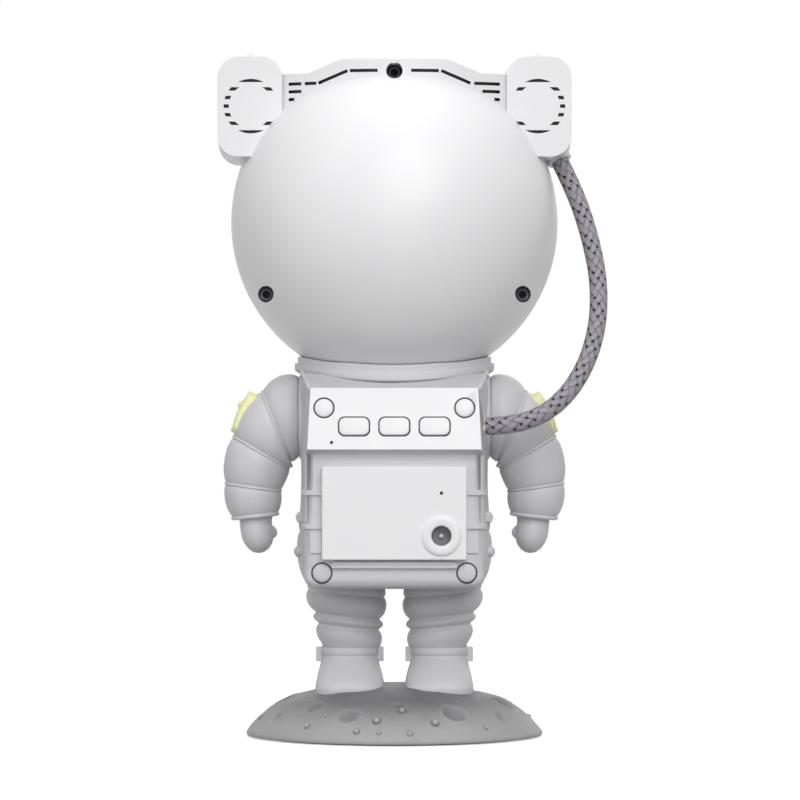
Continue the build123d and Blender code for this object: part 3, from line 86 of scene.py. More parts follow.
class Wire:
    def __init__(self, tree, socket=None):
        self.tree = tree
        self.socket = socket

    def node(self, kind, sockets=None, settings=None, out=0):
        made = self.tree.nodes.new("ShaderNode" + kind)
        for key, value in (settings or {}).items():
            setattr(made, key, value)
        for key, value in (sockets or {}).items():
            if isinstance(value, Wire):
                self.tree.links.new(value.socket, made.inputs[key])
            else:
                made.inputs[key].default_value = value
        return Wire(self.tree, made.outputs[out])

    __add__, __radd__ = mathsNode("ADD"), mathsNode("ADD", True)
    __sub__, __rsub__ = mathsNode("SUBTRACT"), mathsNode("SUBTRACT", True)
    __mul__, __rmul__ = mathsNode("MULTIPLY"), mathsNode("MULTIPLY", True)
    __pow__ = mathsNode("POWER")
    sine, size, most = mathsNode("SINE"), mathsNode("ABSOLUTE"), mathsNode("MAXIMUM")

    def away(self, spot):
        return self.node("VectorMath", {0: self, 1: spot}, {"operation": "DISTANCE"}, "Value")

    def split(self):
        across = self.node("SeparateXYZ", {0: self})
        return [Wire(self.tree, output) for output in across.socket.node.outputs]

    def noisy(self, scale, detail=3.0, rough=0.5):
        return self.node("TexNoise", {"Vector": self, "Scale": scale, "Detail": detail, "Roughness": rough})

    def tint(self, low, high):  # between two screen colours, or wires that carry one
        low, high = (value if isinstance(value, Wire) else paint(*value) for value in (low, high))
        return self.node("Mix", {0: self, 6: low, 7: high}, {"data_type": "RGBA"}, 2)

    def between(self, low, high):
        return self.node("MapRange", {0: self, 1: low, 2: high, 3: 0.0, 4: 1.0},
                         {"interpolation_type": "SMOOTHSTEP"})

    def bump(self, depth):
        return self.node("Bump", {"Height": self, "Distance": depth, "Strength": 1.0})


def paint(red, green, blue):  # a screen colour as the shader's own
    levels = []
    for value in (red / 255, green / 255, blue / 255):
        levels.append(value / 12.92 if value <= 0.04045 else ((value + 0.055) / 1.055) ** 2.4)
    return (*levels, 1.0)


def newFinish(name, fixed=None, coords="Object"):
    finish = bpy.data.materials.new(name)
    finish.use_nodes = True
    shader = finish.node_tree.nodes["Principled BSDF"]
    for key, value in (fixed or {}).items():
        shader.inputs[key].default_value = value
    spot = Wire(finish.node_tree).node("TexCoord", out=coords)
    return finish, shader, spot


def feed(shader, wires):
    for key, wire in wires.items():
        wire.tree.links.new(wire.socket, shader.inputs[key])


# what plastics, metals and glasses share, unless a look says otherwise
lookParts = ("colour", "shade", "rough", "grain", "depth")
plasticBasis = {"cloud": 45, "flow": 220, "wave": 0.6, "speck": 1500, "specked": (0.70, 0.78), "dust": 0.12,
                "spread": 0.12, "grainSpread": 0.06, "fixed": {}}
metalBasis = {"stretch": (1, 1, 1), "stain": 90, "stained": 0.7, "spread": 0.2}
glassBasis = {"smear": 120, "spread": 0.04}


def plasticFinish(name, look):
    finish, shader, spot = newFinish(name, look.fixed)
    cloud = spot.noisy(look.cloud, 4)
    grain = spot.noisy(look.grain, 2, 0.6)
    flow = spot.noisy(look.flow, 3)
    specks = spot.noisy(look.speck, 1).between(*look.specked)
    colour = cloud.tint(look.shade, look.colour)
    feed(shader, {
        "Base Color": (specks * look.dust).tint(colour, look.shade),
        "Roughness": look.rough + (flow - 0.5) * look.spread + (grain - 0.5) * look.grainSpread,
        "Normal": (grain + flow * look.wave).bump(look.depth * mm),
    })
    return finish


def metalFinish(name, look):
    finish, shader, spot = newFinish(name, {"Metallic": 1.0})
    stretched = spot.node("Mapping", {"Vector": spot, "Scale": look.stretch})
    brushed = stretched.noisy(look.grain, 3)
    wearAndPaintedShade = spot.noisy(look.stain, 4) * look.stained + brushed * (1 - look.stained)
    feed(shader, {
        "Base Color": wearAndPaintedShade.tint(look.shade, look.colour),
        "Roughness": look.rough + (brushed - 0.5) * look.spread,
        "Normal": brushed.bump(look.depth * mm),
    })
    return finish


def glassFinish(name, look):
    finish, shader, spot = newFinish(name, look.fixed)
    smear = spot.noisy(look.smear, 3)
    feed(shader, {
        "Base Color": smear.tint(look.shade, look.colour),
        "Roughness": look.rough + (smear - 0.5) * look.spread,
        "Normal": spot.noisy(look.grain, 2).bump(look.depth * mm),
    })
    return finish


# each look: colour, shade, roughness, grain, its depth, and what differs from the basis
plasticLooks = {
    "suit_grey": ((211, 211, 213), (202, 202, 205), 0.52, 2600, 0.014, {"cloud": 38, "spread": 0.16}),
    "shell_white": ((238, 238, 239), (232, 232, 234), 0.4, 1800, 0.002, {"flow": 160, "spread": 0.06}),
    "ear_white": ((233, 233, 234), (225, 225, 227), 0.42, 2400, 0.008, {"spread": 0.1}),
    "panel_white": ((240, 240, 241), (233, 233, 235), 0.4, 2400, 0.006, {"spread": 0.1}),
    "dark_plastic": ((32, 32, 35), (22, 22, 25), 0.5, 2200, 0.014, {"dust": 0.3}),
    "bore_grey": ((172, 172, 174), (164, 164, 166), 0.5, 2200, 0.01),
    # vent_black is painted shade: the walls of vents and slots, and the screws' recesses
    "vent_black": ((18, 18, 20), (12, 12, 14), 0.8, 2200, 0.01, {"dust": 0.1}),
    # line_black is painted shade: the rings in the gaps round buttons and caps, and the panel's pinhole
    "line_black": ((44, 44, 46), (34, 34, 36), 0.7, 2200, 0.01, {"dust": 0.3}),
    "inner_plastic": ((170, 172, 176), (152, 154, 160), 0.5, 1900, 0.016),
    "badge_yellow": ((245, 244, 190), (236, 237, 170), 0.44, 2300, 0.01, {"cloud": 160}),
    "pad_rubber": ((58, 58, 60), (44, 44, 46), 0.82, 1700, 0.05, {"dust": 0.4}),
    "gear_nylon": ((226, 222, 208), (210, 206, 190), 0.48, 1500, 0.015),
    "board_green": ((38, 104, 66), (26, 82, 52), 0.36, 900, 0.012, {"cloud": 500, "dust": 0.5}),
    "lamp_milky": ((238, 240, 244), (222, 226, 233), 0.28, 700, 0.006,
                   {"fixed": {"Subsurface Weight": 0.3, "Subsurface Scale": 0.003}}),
}
metalLooks = {
    "screw_steel": ((92, 92, 95), (66, 66, 69), 0.48, 900, 0.01),
    "axle_steel": ((196, 197, 200), (160, 162, 167), 0.26, 500, 0.008, {"stretch": (1, 6, 1)}),
    "weight_iron": ((96, 94, 92), (66, 63, 61), 0.58, 700, 0.05),
    "magnet_nickel": ((205, 202, 196), (176, 173, 168), 0.2, 400, 0.004, {"stretch": (1, 1, 4)}),
    "sink_aluminium": ((188, 190, 193), (158, 160, 164), 0.36, 650, 0.012, {"stretch": (1, 8, 1)}),
    "laser_brass": ((201, 168, 96), (168, 134, 70), 0.3, 550, 0.008, {"stretch": (1, 7, 1)}),
}
glassLooks = {
    "visor_smoke": ((22, 24, 30), (14, 15, 20), 0.07, 60, 0.004,
                    {"fixed": {"Coat Weight": 0.2, "Coat Roughness": 0.03, "Specular IOR Level": 0.4}}),
    "clear_glass": ((188, 206, 226), (168, 190, 214), 0.06, 40, 0.003,
                    {"fixed": {"Transmission Weight": 0.85, "IOR": 1.49}}),
    "ripple_blue": ((96, 142, 214), (66, 104, 186), 0.1, 420, 0.4,
                    {"fixed": {"Transmission Weight": 0.7, "IOR": 1.49}}),
}
finishes = {}
for make, basis, looks in ((plasticFinish, plasticBasis, plasticLooks), (metalFinish, metalBasis, metalLooks),
                           (glassFinish, glassBasis, glassLooks)):
    for name, row in looks.items():
        own = row[len(lookParts)] if len(row) > len(lookParts) else {}
        finishes[name] = make(name, Named(**{**basis, **dict(zip(lookParts, row)), **own}))


# braid: flat strands wind both ways, with bands of small dark triangles where two of them part
braidLook = Named(
    around=3, pitch=9, band=11.7, fibre=(60, 2400, 1), fuzz=3, frayed=0.2,
    # crown is a painted highlight on the strands' tops, seam is painted shade at their edges
    crown=(164, 157, 168), strand=(138, 132, 141), seam=(128, 122, 131), gap=(22, 20, 24),
    swap=0.05, parted=(0.74, 0.86), oneSide=(0, 0.3), banded=(-0.6, -0.2), seamed=(0, 0.35),
    rough=0.6, spread=0.3, crowned=(0, 0.7), depth=0.35,
)


def braidFinish():
    look = braidLook
    finish, shader, spot = newFinish("hose_braid", None, "UV")
    turn, run, _ = spot.split()
    around = turn * (2 * pi * look.around)
    along = run * (2 * pi / (look.pitch * mm))
    left, right = around + along, around - along
    over = (left.sine() * right.sine()).between(-look.swap, look.swap)  # which family lies on top here
    leftRise, rightRise = left.sine().size(), right.sine().size()
    height = over * leftRise + (1 - over) * rightRise
    fibre = spot.node("Mapping", {"Vector": spot, "Scale": look.fibre})
    fuzz = fibre.noisy(look.fuzz, 3)
    parting = 1 - (leftRise.most(rightRise) + (fuzz - 0.5) * look.frayed).between(*look.parted)
    oneSide = ((left * 2).sine() - (right * 2).sine()).between(*look.oneSide)
    bands = run * (2 * pi / (look.band * mm)) + turn * (2 * pi)
    dark = parting * oneSide * bands.sine().between(*look.banded)
    # painted highlight where a strand rises, painted shade at its edges where it dips under the other
    strand = (fuzz * 0.5 + height * 0.5).tint(look.strand, look.crown)
    seamed = height.between(*look.seamed).tint(look.seam, strand)
    feed(shader, {
        "Base Color": dark.tint(seamed, look.gap),
        "Roughness": look.rough + (fuzz - 0.5) * look.spread,
        "Normal": (height.between(*look.crowned) + fuzz * look.frayed).bump(look.depth * mm),
    })
    return finish


finishes["hose_braid"] = braidFinish()
print("finishes made:", len(finishes))


# pieces: the body is that of the first node that a piece stands for, unless given
def showPiece(name, bm, looks, stands=(), body=None, crease=32, closed=True, rides=True,
              smooth=False, even=False):
    ops.remove_doubles(bm, verts=bm.verts, dist=weld)
    if closed:
        ops.recalc_face_normals(bm, faces=bm.faces)
    mesh = bpy.data.meshes.new(name)
    bm.to_mesh(mesh)
    bm.free()
    mesh.shade_smooth()
    mesh.set_sharp_from_angle(angle=radians(crease))
    piece = bpy.data.objects.new(name, mesh)
    scene.collection.objects.link(piece)
    for look in looks:
        mesh.materials.append(finishes[look])
    if rides:
        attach(piece, body or bodyOf[stands[0]])
    if stands:
        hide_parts(*stands)
    if smooth:
        subdivision = piece.modifiers.new("smooth", "SUBSURF")
        subdivision.levels = 1
        subdivision.render_levels = 1
    if even:
        piece.modifiers.new("evenShading", "WEIGHTED_NORMAL").keep_sharp = True
    return piece


def ringEdges(ring):  # each edge once, in the ring's order
    inside = set(ring)
    edges = (edge for vert in ring for edge in vert.link_edges if edge.other_vert(vert) in inside)
    return list(dict.fromkeys(edges))


def addRing(bm, place, halfWidth, halfDepth, steps=48):
    shape = Matrix.Diagonal((halfWidth * mm, halfDepth * mm, 1, 1))
    return ops.create_circle(bm, segments=steps, radius=1, matrix=place @ shape)["verts"]


def addRoundedRing(bm, place, halfWidth, halfDepth, corner, steps=64):
    ring = ops.create_circle(bm, segments=steps, radius=corner * mm)["verts"]
    for side in (-1, 1):
        across = [vert for vert in ring if vert.co.x * side > 1e-7]
        ops.translate(bm, verts=across, vec=(side * (halfWidth - corner) * mm, 0, 0))
        along = [vert for vert in ring if vert.co.y * side > 1e-7]
        ops.translate(bm, verts=along, vec=(0, side * (halfDepth - corner) * mm, 0))
    ops.transform(bm, matrix=place, verts=ring)
    return ring


def insetRings(bm, place, levels, wide, deep, corner, steps=64, least=0):  # levels of (inset, height)
    return [addRoundedRing(bm, place @ level(0, 0, height), wide - inset, deep - inset,
                           max(corner - inset, least), steps) for inset, height in levels]


def skinRings(bm, rings, around=False):  # ends are filled, or joined to each other when it goes around
    loops = [ringEdges(ring) for ring in rings]
    for lower, upper in zip(loops, loops[1:]):
        ops.bridge_loops(bm, edges=lower + upper)
    if around:
        ops.bridge_loops(bm, edges=loops[-1] + loops[0])
    else:
        ops.edgeloop_fill(bm, edges=loops[0])
        ops.edgeloop_fill(bm, edges=loops[-1])


def level(x, y, z):
    return Matrix.Translation(Vector((x, y, z)) * mm)


def facing(origin, normal, up=(0, 0, 1)):  # local Z along the normal, local Y near up
    out = Vector(normal).normalized()
    side = Vector(up).cross(out).normalized()
    turned = Matrix((side, out.cross(side), out)).transposed().to_4x4()
    return Matrix.Translation(Vector(origin) * mm) @ turned


def joinInto(bm, part, place):
    ops.transform(part, matrix=place, verts=part.verts)
    carried = bpy.data.meshes.new("carried")
    part.to_mesh(carried)
    part.free()
    bm.from_mesh(carried)
    bpy.data.meshes.remove(carried)


def spinInto(bm, part, outline, place, steps, look=0):
    ops.spin(part, geom=outline, cent=(0, 0, 0), axis=(0, 0, 1), angle=2 * pi, steps=steps,
                   use_merge=True)
    ops.remove_doubles(part, verts=part.verts, dist=weld)
    ops.recalc_face_normals(part, faces=part.faces)
    for face in part.faces:
        face.material_index = look
    joinInto(bm, part, place)


def addLathe(bm, profile, place, steps=64, look=0):  # profile of (radius, height) spun about the place's Z
    part = bmesh.new()
    verts = [part.verts.new((radius * mm, 0, height * mm)) for radius, height in profile]
    edges = [part.edges.new(pair) for pair in zip(verts, verts[1:])]
    spinInto(bm, part, verts + edges, place, steps, look)


def addHoop(bm, place, radius, thick, steps=64):  # a thin round cord lying in a ring
    part = bmesh.new()
    upright = Matrix.Translation((radius * mm, 0, 0)) @ Matrix.Rotation(pi / 2, 4, "X")
    small = ops.create_circle(part, segments=10, radius=thick * mm, matrix=upright)["verts"]
    spinInto(bm, part, small + ringEdges(small), place, steps)


def bevelEdges(bm, edges, width, segments, clamped=False):
    ops.bevel(bm, geom=edges, offset=width * mm, segments=segments, profile=0.5, affect="EDGES",
                    material=-1, clamp_overlap=clamped)


def addBlock(bm, place, size, corner, edge, segments=2):  # corner rounds the outline, edge the face
    block = bmesh.new()
    ops.create_cube(block, size=1, matrix=Matrix.Diagonal((*(side * mm for side in size), 1)))
    uprights = [e for e in block.edges if abs((e.verts[0].co - e.verts[1].co).normalized().z) > 0.9]
    bevelEdges(block, uprights, corner, 6)
    face = [e for e in block.edges if all(vert.co.z > size[2] * mm * 0.49 for vert in e.verts)]
    bevelEdges(block, face, edge, segments)
    joinInto(bm, block, place)


def addBar(bm, start, end, radius):  # a round bar with domed ends
    way = Vector(end) - Vector(start)
    ease = 0.7 * radius
    profile = [(0, -radius), (ease, -ease), (radius, 0), (radius, way.length), (ease, way.length + ease),
               (0, way.length + radius)]
    addLathe(bm, profile, facing(start, way), 20)


def mirrorAcross(bm):
    ops.mirror(bm, geom=bm.verts[:] + bm.edges[:] + bm.faces[:], axis="X", merge_dist=1e-8)


def flipAcross(bm):
    ops.scale(bm, vec=(-1, 1, 1), verts=bm.verts)
    ops.reverse_faces(bm, faces=bm.faces)


# a copy of a node with its sharp edges rounded; a second look and a change of shape are given as functions
softening = Named(flat=0.5, sharp=32, strip=120)


def softenedPiece(name, node, width, look, choose=None, segments=3, second=None, reshape=None):
    bm = bmesh.new()
    bm.from_mesh(nodes[node].data)
    ops.remove_doubles(bm, verts=bm.verts, dist=weld)
    ops.dissolve_limit(bm, angle_limit=radians(softening.flat), verts=bm.verts, edges=bm.edges)
    least = radians(softening.sharp)
    sharp = [edge for edge in bm.edges if edge.is_manifold and edge.calc_face_angle(0) > least]
    bevelEdges(bm, [edge for edge in sharp if not choose or choose(edge)], width, segments, True)
    for face in bm.faces:
        face.material_index = int(second[1](face)) if second else 0
    if reshape:  # broad faces stay whole
        strips = [face for face in bm.faces if face.calc_area() < softening.strip * mm * mm]
        ops.triangulate(bm, faces=strips)
        for vert in bm.verts:
            vert.co = reshape(vert.co / mm) * mm
    showPiece(name, bm, [look, second[0]] if second else [look], [node], closed=False, even=True)


# power hose: one line, two lengths that meet where the neck turns
hoseSizes = Named(
    diameter=5.9, lean=20, start=(29.4, -31, 103.5), meetHeight=140, sides=28,
    order=3, resolution=14,
    corners=[(0, 0), (10.6, 0), (23.6, 6.4), (32.6, 18.6), (37.6, 33.8),
             (38.4, 50.4), (35.6, 66.8), (31, 82.6), (25.6, 94.6)],
)


def hoseLine():
    lean = radians(hoseSizes.lean)
    across = Vector((1, 0, 0))
    upward = Vector((0, sin(lean), cos(lean)))
    start = Vector(hoseSizes.start)
    points = [(start + across * out + upward * rise) * mm for out, rise in hoseSizes.corners]
    line = bpy.data.curves.new("hoseLine", "CURVE")
    line.dimensions = "3D"
    spline = line.splines.new("NURBS")
    spline.points.add(len(points) - 1)
    for control, point in zip(spline.points, points):
        control.co = (*point, 1)
    spline.order_u = hoseSizes.order
    spline.use_endpoint_u = True
    spline.resolution_u = hoseSizes.resolution
    holder = bpy.data.objects.new("hoseLine", line)
    scene.collection.objects.link(holder)
    bpy.context.view_layer.update()
    read = bpy.data.meshes.new_from_object(holder)
    path = [vert.co.copy() for vert in read.vertices]
    bpy.data.objects.remove(holder)
    bpy.data.curves.remove(line)
    bpy.data.meshes.remove(read)
    return path


def hoseLength(name, path, begun):
    bm = bmesh.new()
    sheet = bm.loops.layers.uv.new("hoseUV")
    radius = hoseSizes.diameter / 2
    lean = radians(hoseSizes.lean)
    square = Vector((0, -cos(lean), sin(lean)))  # square to the hose's own plane
    rings = []
    order = {}
    run = begun
    for index, point in enumerate(path):
        before = path[max(index - 1, 0)]
        after = path[min(index + 1, len(path) - 1)]
        ring = addRing(bm, facing(point / mm, after - before, square), radius, radius, hoseSizes.sides)
        run += (point - before).length
        order.update({vert: (step / len(ring), run) for step, vert in enumerate(ring)})
        rings.append(ring)
    for lower, upper in zip(rings, rings[1:]):
        ops.bridge_loops(bm, edges=ringEdges(lower) + ringEdges(upper))
    for face in bm.faces:
        turns = [order[loop.vert][0] for loop in face.loops]
        wraps = max(turns) - min(turns) > 0.5
        for loop in face.loops:
            turn, along = order[loop.vert]
            loop[sheet].uv = (turn + 1 if wraps and turn < 0.5 else turn, along)
    piece = showPiece(name, bm, ["hose_braid"], ["power_hose"], rides=False)
    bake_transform(piece)
    return run


hosePath = hoseLine()
meeting = min(range(len(hosePath)), key=lambda index: abs(hosePath[index].z - hoseSizes.meetHeight * mm))
hoseHalf = hoseLength("hoseLower", hosePath[:meeting + 1], 0.0)
hoseWhole = hoseLength("hoseUpper", hosePath[meeting:], hoseHalf)

hoseEnds = [  # a flat ring on the pack, a plug that fills the slanted hole in the ear
    ("hoseGrommet", "hose_grommet", "suit_grey", hosePath[0], hosePath[1],
     [(2.8, -0.25), (4.1, -0.25), (4.35, -0.1), (4.4, 0.1), (4.4, 0.6), (2.8, 0.6), (2.8, -0.25)]),
    ("hoseFerrule", "hose_ferrule", "shell_white", hosePath[-1], hosePath[-2],
     [(2.8, -0.8), (3.8, -0.8), (4.1, -0.65), (4.25, -0.3), (4.25, 3.2), (2.8, 3.2), (2.8, -0.8)]),
]
for name, node, look, end, beside, profile in hoseEnds:
    bm = bmesh.new()
    addLathe(bm, profile, facing(end / mm, end - beside), 40)
    showPiece(name, bm, [look], [node])
print("hose laid:", round(hoseHalf / mm, 1), "of", round(hoseWhole / mm, 1), "mm to the meeting point")

# base, a piece of moon: bowls and slow unevenness on a spun dome, with small raised dots
moonSizes = Named(
    height=17.9, radius=49.4, rim=1.6, fade=2, wall=2.6, crown=127, reach=31.7,
    bend=31.05, bendCentre=(23.95, -16.19), bendEnd=55.04, innerEnd=49.2, steps=400,
    edge=[(0, 1.1), (0, 0.8), (0.3, 0.5), (2.5, 0.5), (3, 1.4)],
    hills=0.42, hillScale=0.09, lumps=0.06, lumpScale=0.7,
    bowlReach=1.7, lip=0.16, lipPlace=1.1, lipWidth=0.18,
    # each bowl: bearing, distance from the axis, radius, depth
    bowls=[(249, 41.6, 3.9, 1), (298.6, 40.9, 4.3, 2.2), (272, 36.4, 2.2, 0.5), (227, 38.5, 3.4, 0.6),
           (324, 43.4, 3, 0.7), (207, 43.8, 2.6, 0.7), (344, 37.6, 4.8, 1.4), (176, 37.8, 5, 1.5),
           (20, 42.5, 4.2, 1.3), (62, 41, 5.6, 1.8), (92, 43.5, 3.6, 1), (118, 40, 4.8, 1.5),
           (150, 43, 4, 1.2)],
    # each dot: bearing, distance from the axis, radius
    dots=[(273.6, 39.3, 1.25), (262.5, 43.6, 1.3), (287.3, 44.4, 1.25), (254.9, 47, 1.05),
          (263.9, 47.3, 0.8), (276.1, 47.6, 1), (232, 46, 0.9), (238, 42, 0.8),
          (310, 46.5, 0.8), (12, 46, 1.1), (40, 45, 1), (78, 46, 1.2),
          (104, 46.5, 0.9), (135, 45.5, 1.2), (163, 45.5, 1), (190, 45, 1.1)],
    dot=[(0, 0.8), (0.42, 0.73), (0.74, 0.5), (0.93, 0.18), (1, -0.2), (1, -0.8), (0, -0.8)],
)


def moonArc(centre, radius, start, end, steps):
    turns = [radians(start + (end - start) * step / steps) for step in range(steps + 1)]
    return [(centre[0] + radius * sin(turn), centre[1] + radius * cos(turn)) for turn in turns]


def onMoon(bearing, distance):  # a point of the slope and its outward direction
    centre = moonSizes.bendCentre
    rise = sqrt(moonSizes.bend ** 2 - (distance - centre[0]) ** 2)
    turn = Matrix.Rotation(radians(bearing), 3, "Z")
    return turn @ Vector((distance, 0, centre[1] + rise)), turn @ Vector((distance - centre[0], 0, rise))


# moon plastic: darker towards the middle and lighter near the foot, with painted shade in the bowls and a
# painted highlight on their lips, a painted shadow round each dot and a painted highlight on its top, dusty
# and pitted
moonLook = Named(
    plains=38, grain=700, pits=420, middle=(0.034, 0.049), foot=(0.009, 0.001),
    # painted light among these colours: lip is a highlight on bowl lips and dot tops, floor is shade in the
    # bowls, and the colour after floor is a shadow round each dot
    pale=(162, 162, 163), dark=(104, 104, 106), dust=(170, 170, 171), lip=(186, 186, 187),
    floor=(92, 92, 94), moat=(84, 84, 86), edge=(172, 172, 173), rough=0.62, depth=0.10, spread=0.2,
    grainSpread=0.12, wander=0.012, ragged=0.3, dusted=(0.52, 0.75), pitted=(0.0, 0.35),
    # where each mark lies, in radii from its middle
    floorEnd=(0.45, 0.9), lipStart=(0.85, 1.0), lipEnd=(1.05, 1.35), moatEnd=(1.1, 1.55), capEnd=(0.75, 0.95),
    # how much of each shows in the colour and in the relief
    shares=Named(middle=0.8, drift=0.9, dust=0.22, lip=0.1, floor=0.26, moat=0.5, edge=0.35),
    relief=Named(grain=0.5, pits=0.35, plains=0.4),
)


def moonFinish():
    look, shares, relief = moonLook, moonLook.shares, moonLook.relief
    finish, shader, spot = newFinish("moon_grey")
    across, along, rise = spot.split()
    plains = spot.noisy(look.plains, 5, 0.6)
    drift = plains - 0.5
    reach = (across * across + along * along) ** 0.5
    middle = 1 - (reach + drift * look.wander).between(*look.middle)
    grain = spot.noisy(look.grain, 3, 0.6)
    pits = spot.node("TexVoronoi", {"Vector": spot, "Scale": look.pits}, {"feature": "F1"})
    ground = (middle * shares.middle + drift * shares.drift).tint(look.pale, look.dark)
    dusty = (grain.between(*look.dusted) * shares.dust).tint(ground, look.dust)
    paintedBowlShade, paintedLipHighlight, paintedDotShadows, caps = 0.0, 0.0, 0.0, 0.0
    for bearing, distance, wide, _ in moonSizes.bowls:
        share = spot.away(onMoon(bearing, distance)[0] * mm) * (1 / (wide * mm)) + drift * look.ragged
        # painted shade on each bowl's floor, a painted highlight on its lip
        paintedBowlShade = (1 - share.between(*look.floorEnd)).most(paintedBowlShade)
        paintedLipHighlight = (share.between(*look.lipStart) * (1 - share.between(*look.lipEnd))).most(paintedLipHighlight)
    for bearing, distance, wide in moonSizes.dots:
        share = spot.away(onMoon(bearing, distance)[0] * mm) * (1 / (wide * mm))
        # a painted shadow round each dot, a painted highlight on its top
        paintedDotShadows = (1 - share.between(*look.moatEnd)).most(paintedDotShadows)
        caps = (1 - share.between(*look.capEnd)).most(caps)
    withLipHighlight = (paintedLipHighlight * shares.lip).tint(dusty, look.lip)
    wearAndPaintedShade = (paintedBowlShade * shares.floor).tint(withLipHighlight, look.floor)
    dotted = caps.tint((paintedDotShadows * shares.moat).tint(wearAndPaintedShade, look.moat), look.lip)
    rough = grain * relief.grain + pits.between(*look.pitted) * relief.pits + plains * relief.plains
    feed(shader, {
        "Base Color": (rise.between(*look.foot) * shares.edge).tint(dotted, look.edge),
        "Roughness": look.rough + drift * look.spread + (grain - 0.5) * look.grainSpread,
        "Normal": rough.bump(look.depth * mm),
    })
    return finish


def makeMoonBase():
    sizes = moonSizes
    crown, bend, wall, rim = sizes.crown, sizes.bend, sizes.wall, sizes.rim
    top, side = (0, sizes.height - crown), sizes.bendCentre
    turnOver = degrees(asin(sizes.reach / crown))
    profile = moonArc(top, crown, 0, turnOver, 20)
    profile += moonArc(side, bend, turnOver, sizes.bendEnd, 40)[1:]
    profile += [(sizes.radius - inset, height) for inset, height in sizes.edge]
    profile += moonArc(side, bend - wall, sizes.innerEnd, turnOver, 8)
    profile += moonArc(top, crown - wall, turnOver, 0, 6)[1:]
    bm = bmesh.new()
    addLathe(bm, profile, Matrix(), sizes.steps)
    bm.normal_update()
    bowls = [(onMoon(bearing, distance)[0], wide, depth) for bearing, distance, wide, depth in sizes.bowls]
    outwards = {vert: vert.normal.copy() for vert in bm.verts}
    for vert, out in outwards.items():
        spot = vert.co / mm
        if out.z < -0.05 or spot.z < rim:
            continue
        hills = sizes.hills * noise.fractal(spot * sizes.hillScale, 1.0, 2.0, 3)
        lumps = sizes.lumps * noise.noise(spot * sizes.lumpScale)
        lift = min(1, (spot.z - rim) / sizes.fade) * (hills + lumps)
        for centre, wide, depth in bowls:
            share = (spot - centre).length / wide
            if share < sizes.bowlReach:
                lift -= depth * max(0, 1 - share * share)
                away = (share - sizes.lipPlace) / sizes.lipWidth
                lift += sizes.lip * depth * exp(-away ** 2)
        vert.co += out * lift * mm
    for bearing, distance, wide in sizes.dots:
        spot, out = onMoon(bearing, distance)
        addLathe(bm, [(wide * across, wide * rise) for across, rise in sizes.dot], facing(spot, out), 20)
    showPiece("moonBase", bm, ["moon_grey"], ["base_shell"], crease=50)


finishes["moon_grey"] = moonFinish()
makeMoonBase()
print("base made")

# boots: long rounded soles that narrow to the ankle, a strap with a square buckle on each side
bootSizes = Named(
    out=14.9,
    # each ring: height, half width, half depth, shift to the front and corner
    rings=[(12.5, 11.2, 19.6, 1.6, 8), (15.6, 11.3, 19.8, 1.6, 8), (16.4, 11.4, 20, 1.6, 8),
           (17.4, 11.35, 19.8, 1.6, 8.2), (18.8, 11.1, 19, 1.6, 8.6), (20.4, 10.8, 17.5, 1.5, 9.2),
           (22, 10.4, 15.5, 1.2, 9.6), (23.6, 9.95, 13.2, 0.8, 9.5), (25.2, 9.6, 11, 0.3, 9.4),
           (26.4, 9.4, 9.7, 0.05, 9.3), (27.6, 9.3, 9.35, 0, 9.25)],
    strap=[(8.7, 27), (9.55, 27), (9.9, 27.5), (10, 28.35), (9.9, 29.2), (9.55, 29.7), (8.7, 29.7),
           (6.1, 29.6)],
    buckle=[(5, 4.8, 2.8), 0.3, 0.25], buckleOut=9.9, buckleHeight=27.3,  # size, corner, edge
)


def makeBoots():
    sizes = bootSizes
    bm = bmesh.new()
    skinRings(bm, [addRoundedRing(bm, level(sizes.out, shift, rise), wide, deep, corner)
                   for rise, wide, deep, shift, corner in sizes.rings])
    addLathe(bm, sizes.strap, level(sizes.out, 0, 0))
    for side in (-1, 1):
        middle = (sizes.out + side * sizes.buckleOut, 0, sizes.buckleHeight)
        addBlock(bm, facing(middle, (side, 0, 0)), *sizes.buckle)
    mirrorAcross(bm)
    showPiece("bootPair", bm, ["suit_grey"], ["boots"])


# legs: stacked puffs with a slanted cord between them
legSizes = Named(
    out=14.9, ankle=29.6, height=20.4, slant=6, crumple=0.22, crumpleScale=0.16,
    # each ring: share of the height, shift outwards and radius
    rings=[(-0.12, 0, 8.8), (0, 0, 9.3), (0.05, 0.05, 10.1), (0.13, 0.15, 10.9), (0.21, 0.25, 11.2),
           (0.29, 0.35, 10.9), (0.335, 0.4, 10.1), (0.355, 0.42, 10.3), (0.375, 0.45, 11.2),
           (0.42, 0.5, 11.8), (0.46, 0.6, 11.8), (0.495, 0.68, 11.1), (0.515, 0.72, 10.6),
           (0.54, 0.8, 11.4), (0.60, 0.9, 12.7), (0.69, 1.1, 13.5), (0.78, 1.2, 13.7), (0.85, 1.2, 13.3),
           (0.885, 1.2, 12.6), (0.91, 1.15, 13.2), (0.97, 1.1, 13.3), (1.05, 0.9, 12.7), (1.2, 0.7, 11.2)],
)


def makeLegs():
    sizes = legSizes
    bm = bmesh.new()
    tilt = Matrix.Rotation(radians(-sizes.slant), 4, "Y")
    rings = []
    for share, shift, radius in sizes.rings:
        place = level(sizes.out + shift, 0, sizes.ankle + share * sizes.height) @ tilt
        rings.append(addRing(bm, place, radius, radius))
    skinRings(bm, rings)
    for vert in bm.verts:
        spot = vert.co / mm
        outward = Vector((spot.x - sizes.out, spot.y, 0)).normalized()
        vert.co += outward * noise.noise(spot * sizes.crumpleScale) * sizes.crumple * mm
    mirrorAcross(bm)
    showPiece("legPair", bm, ["suit_grey"], ["legs"], crease=60, smooth=True)


makeBoots()
makeLegs()
print("boots and legs made")

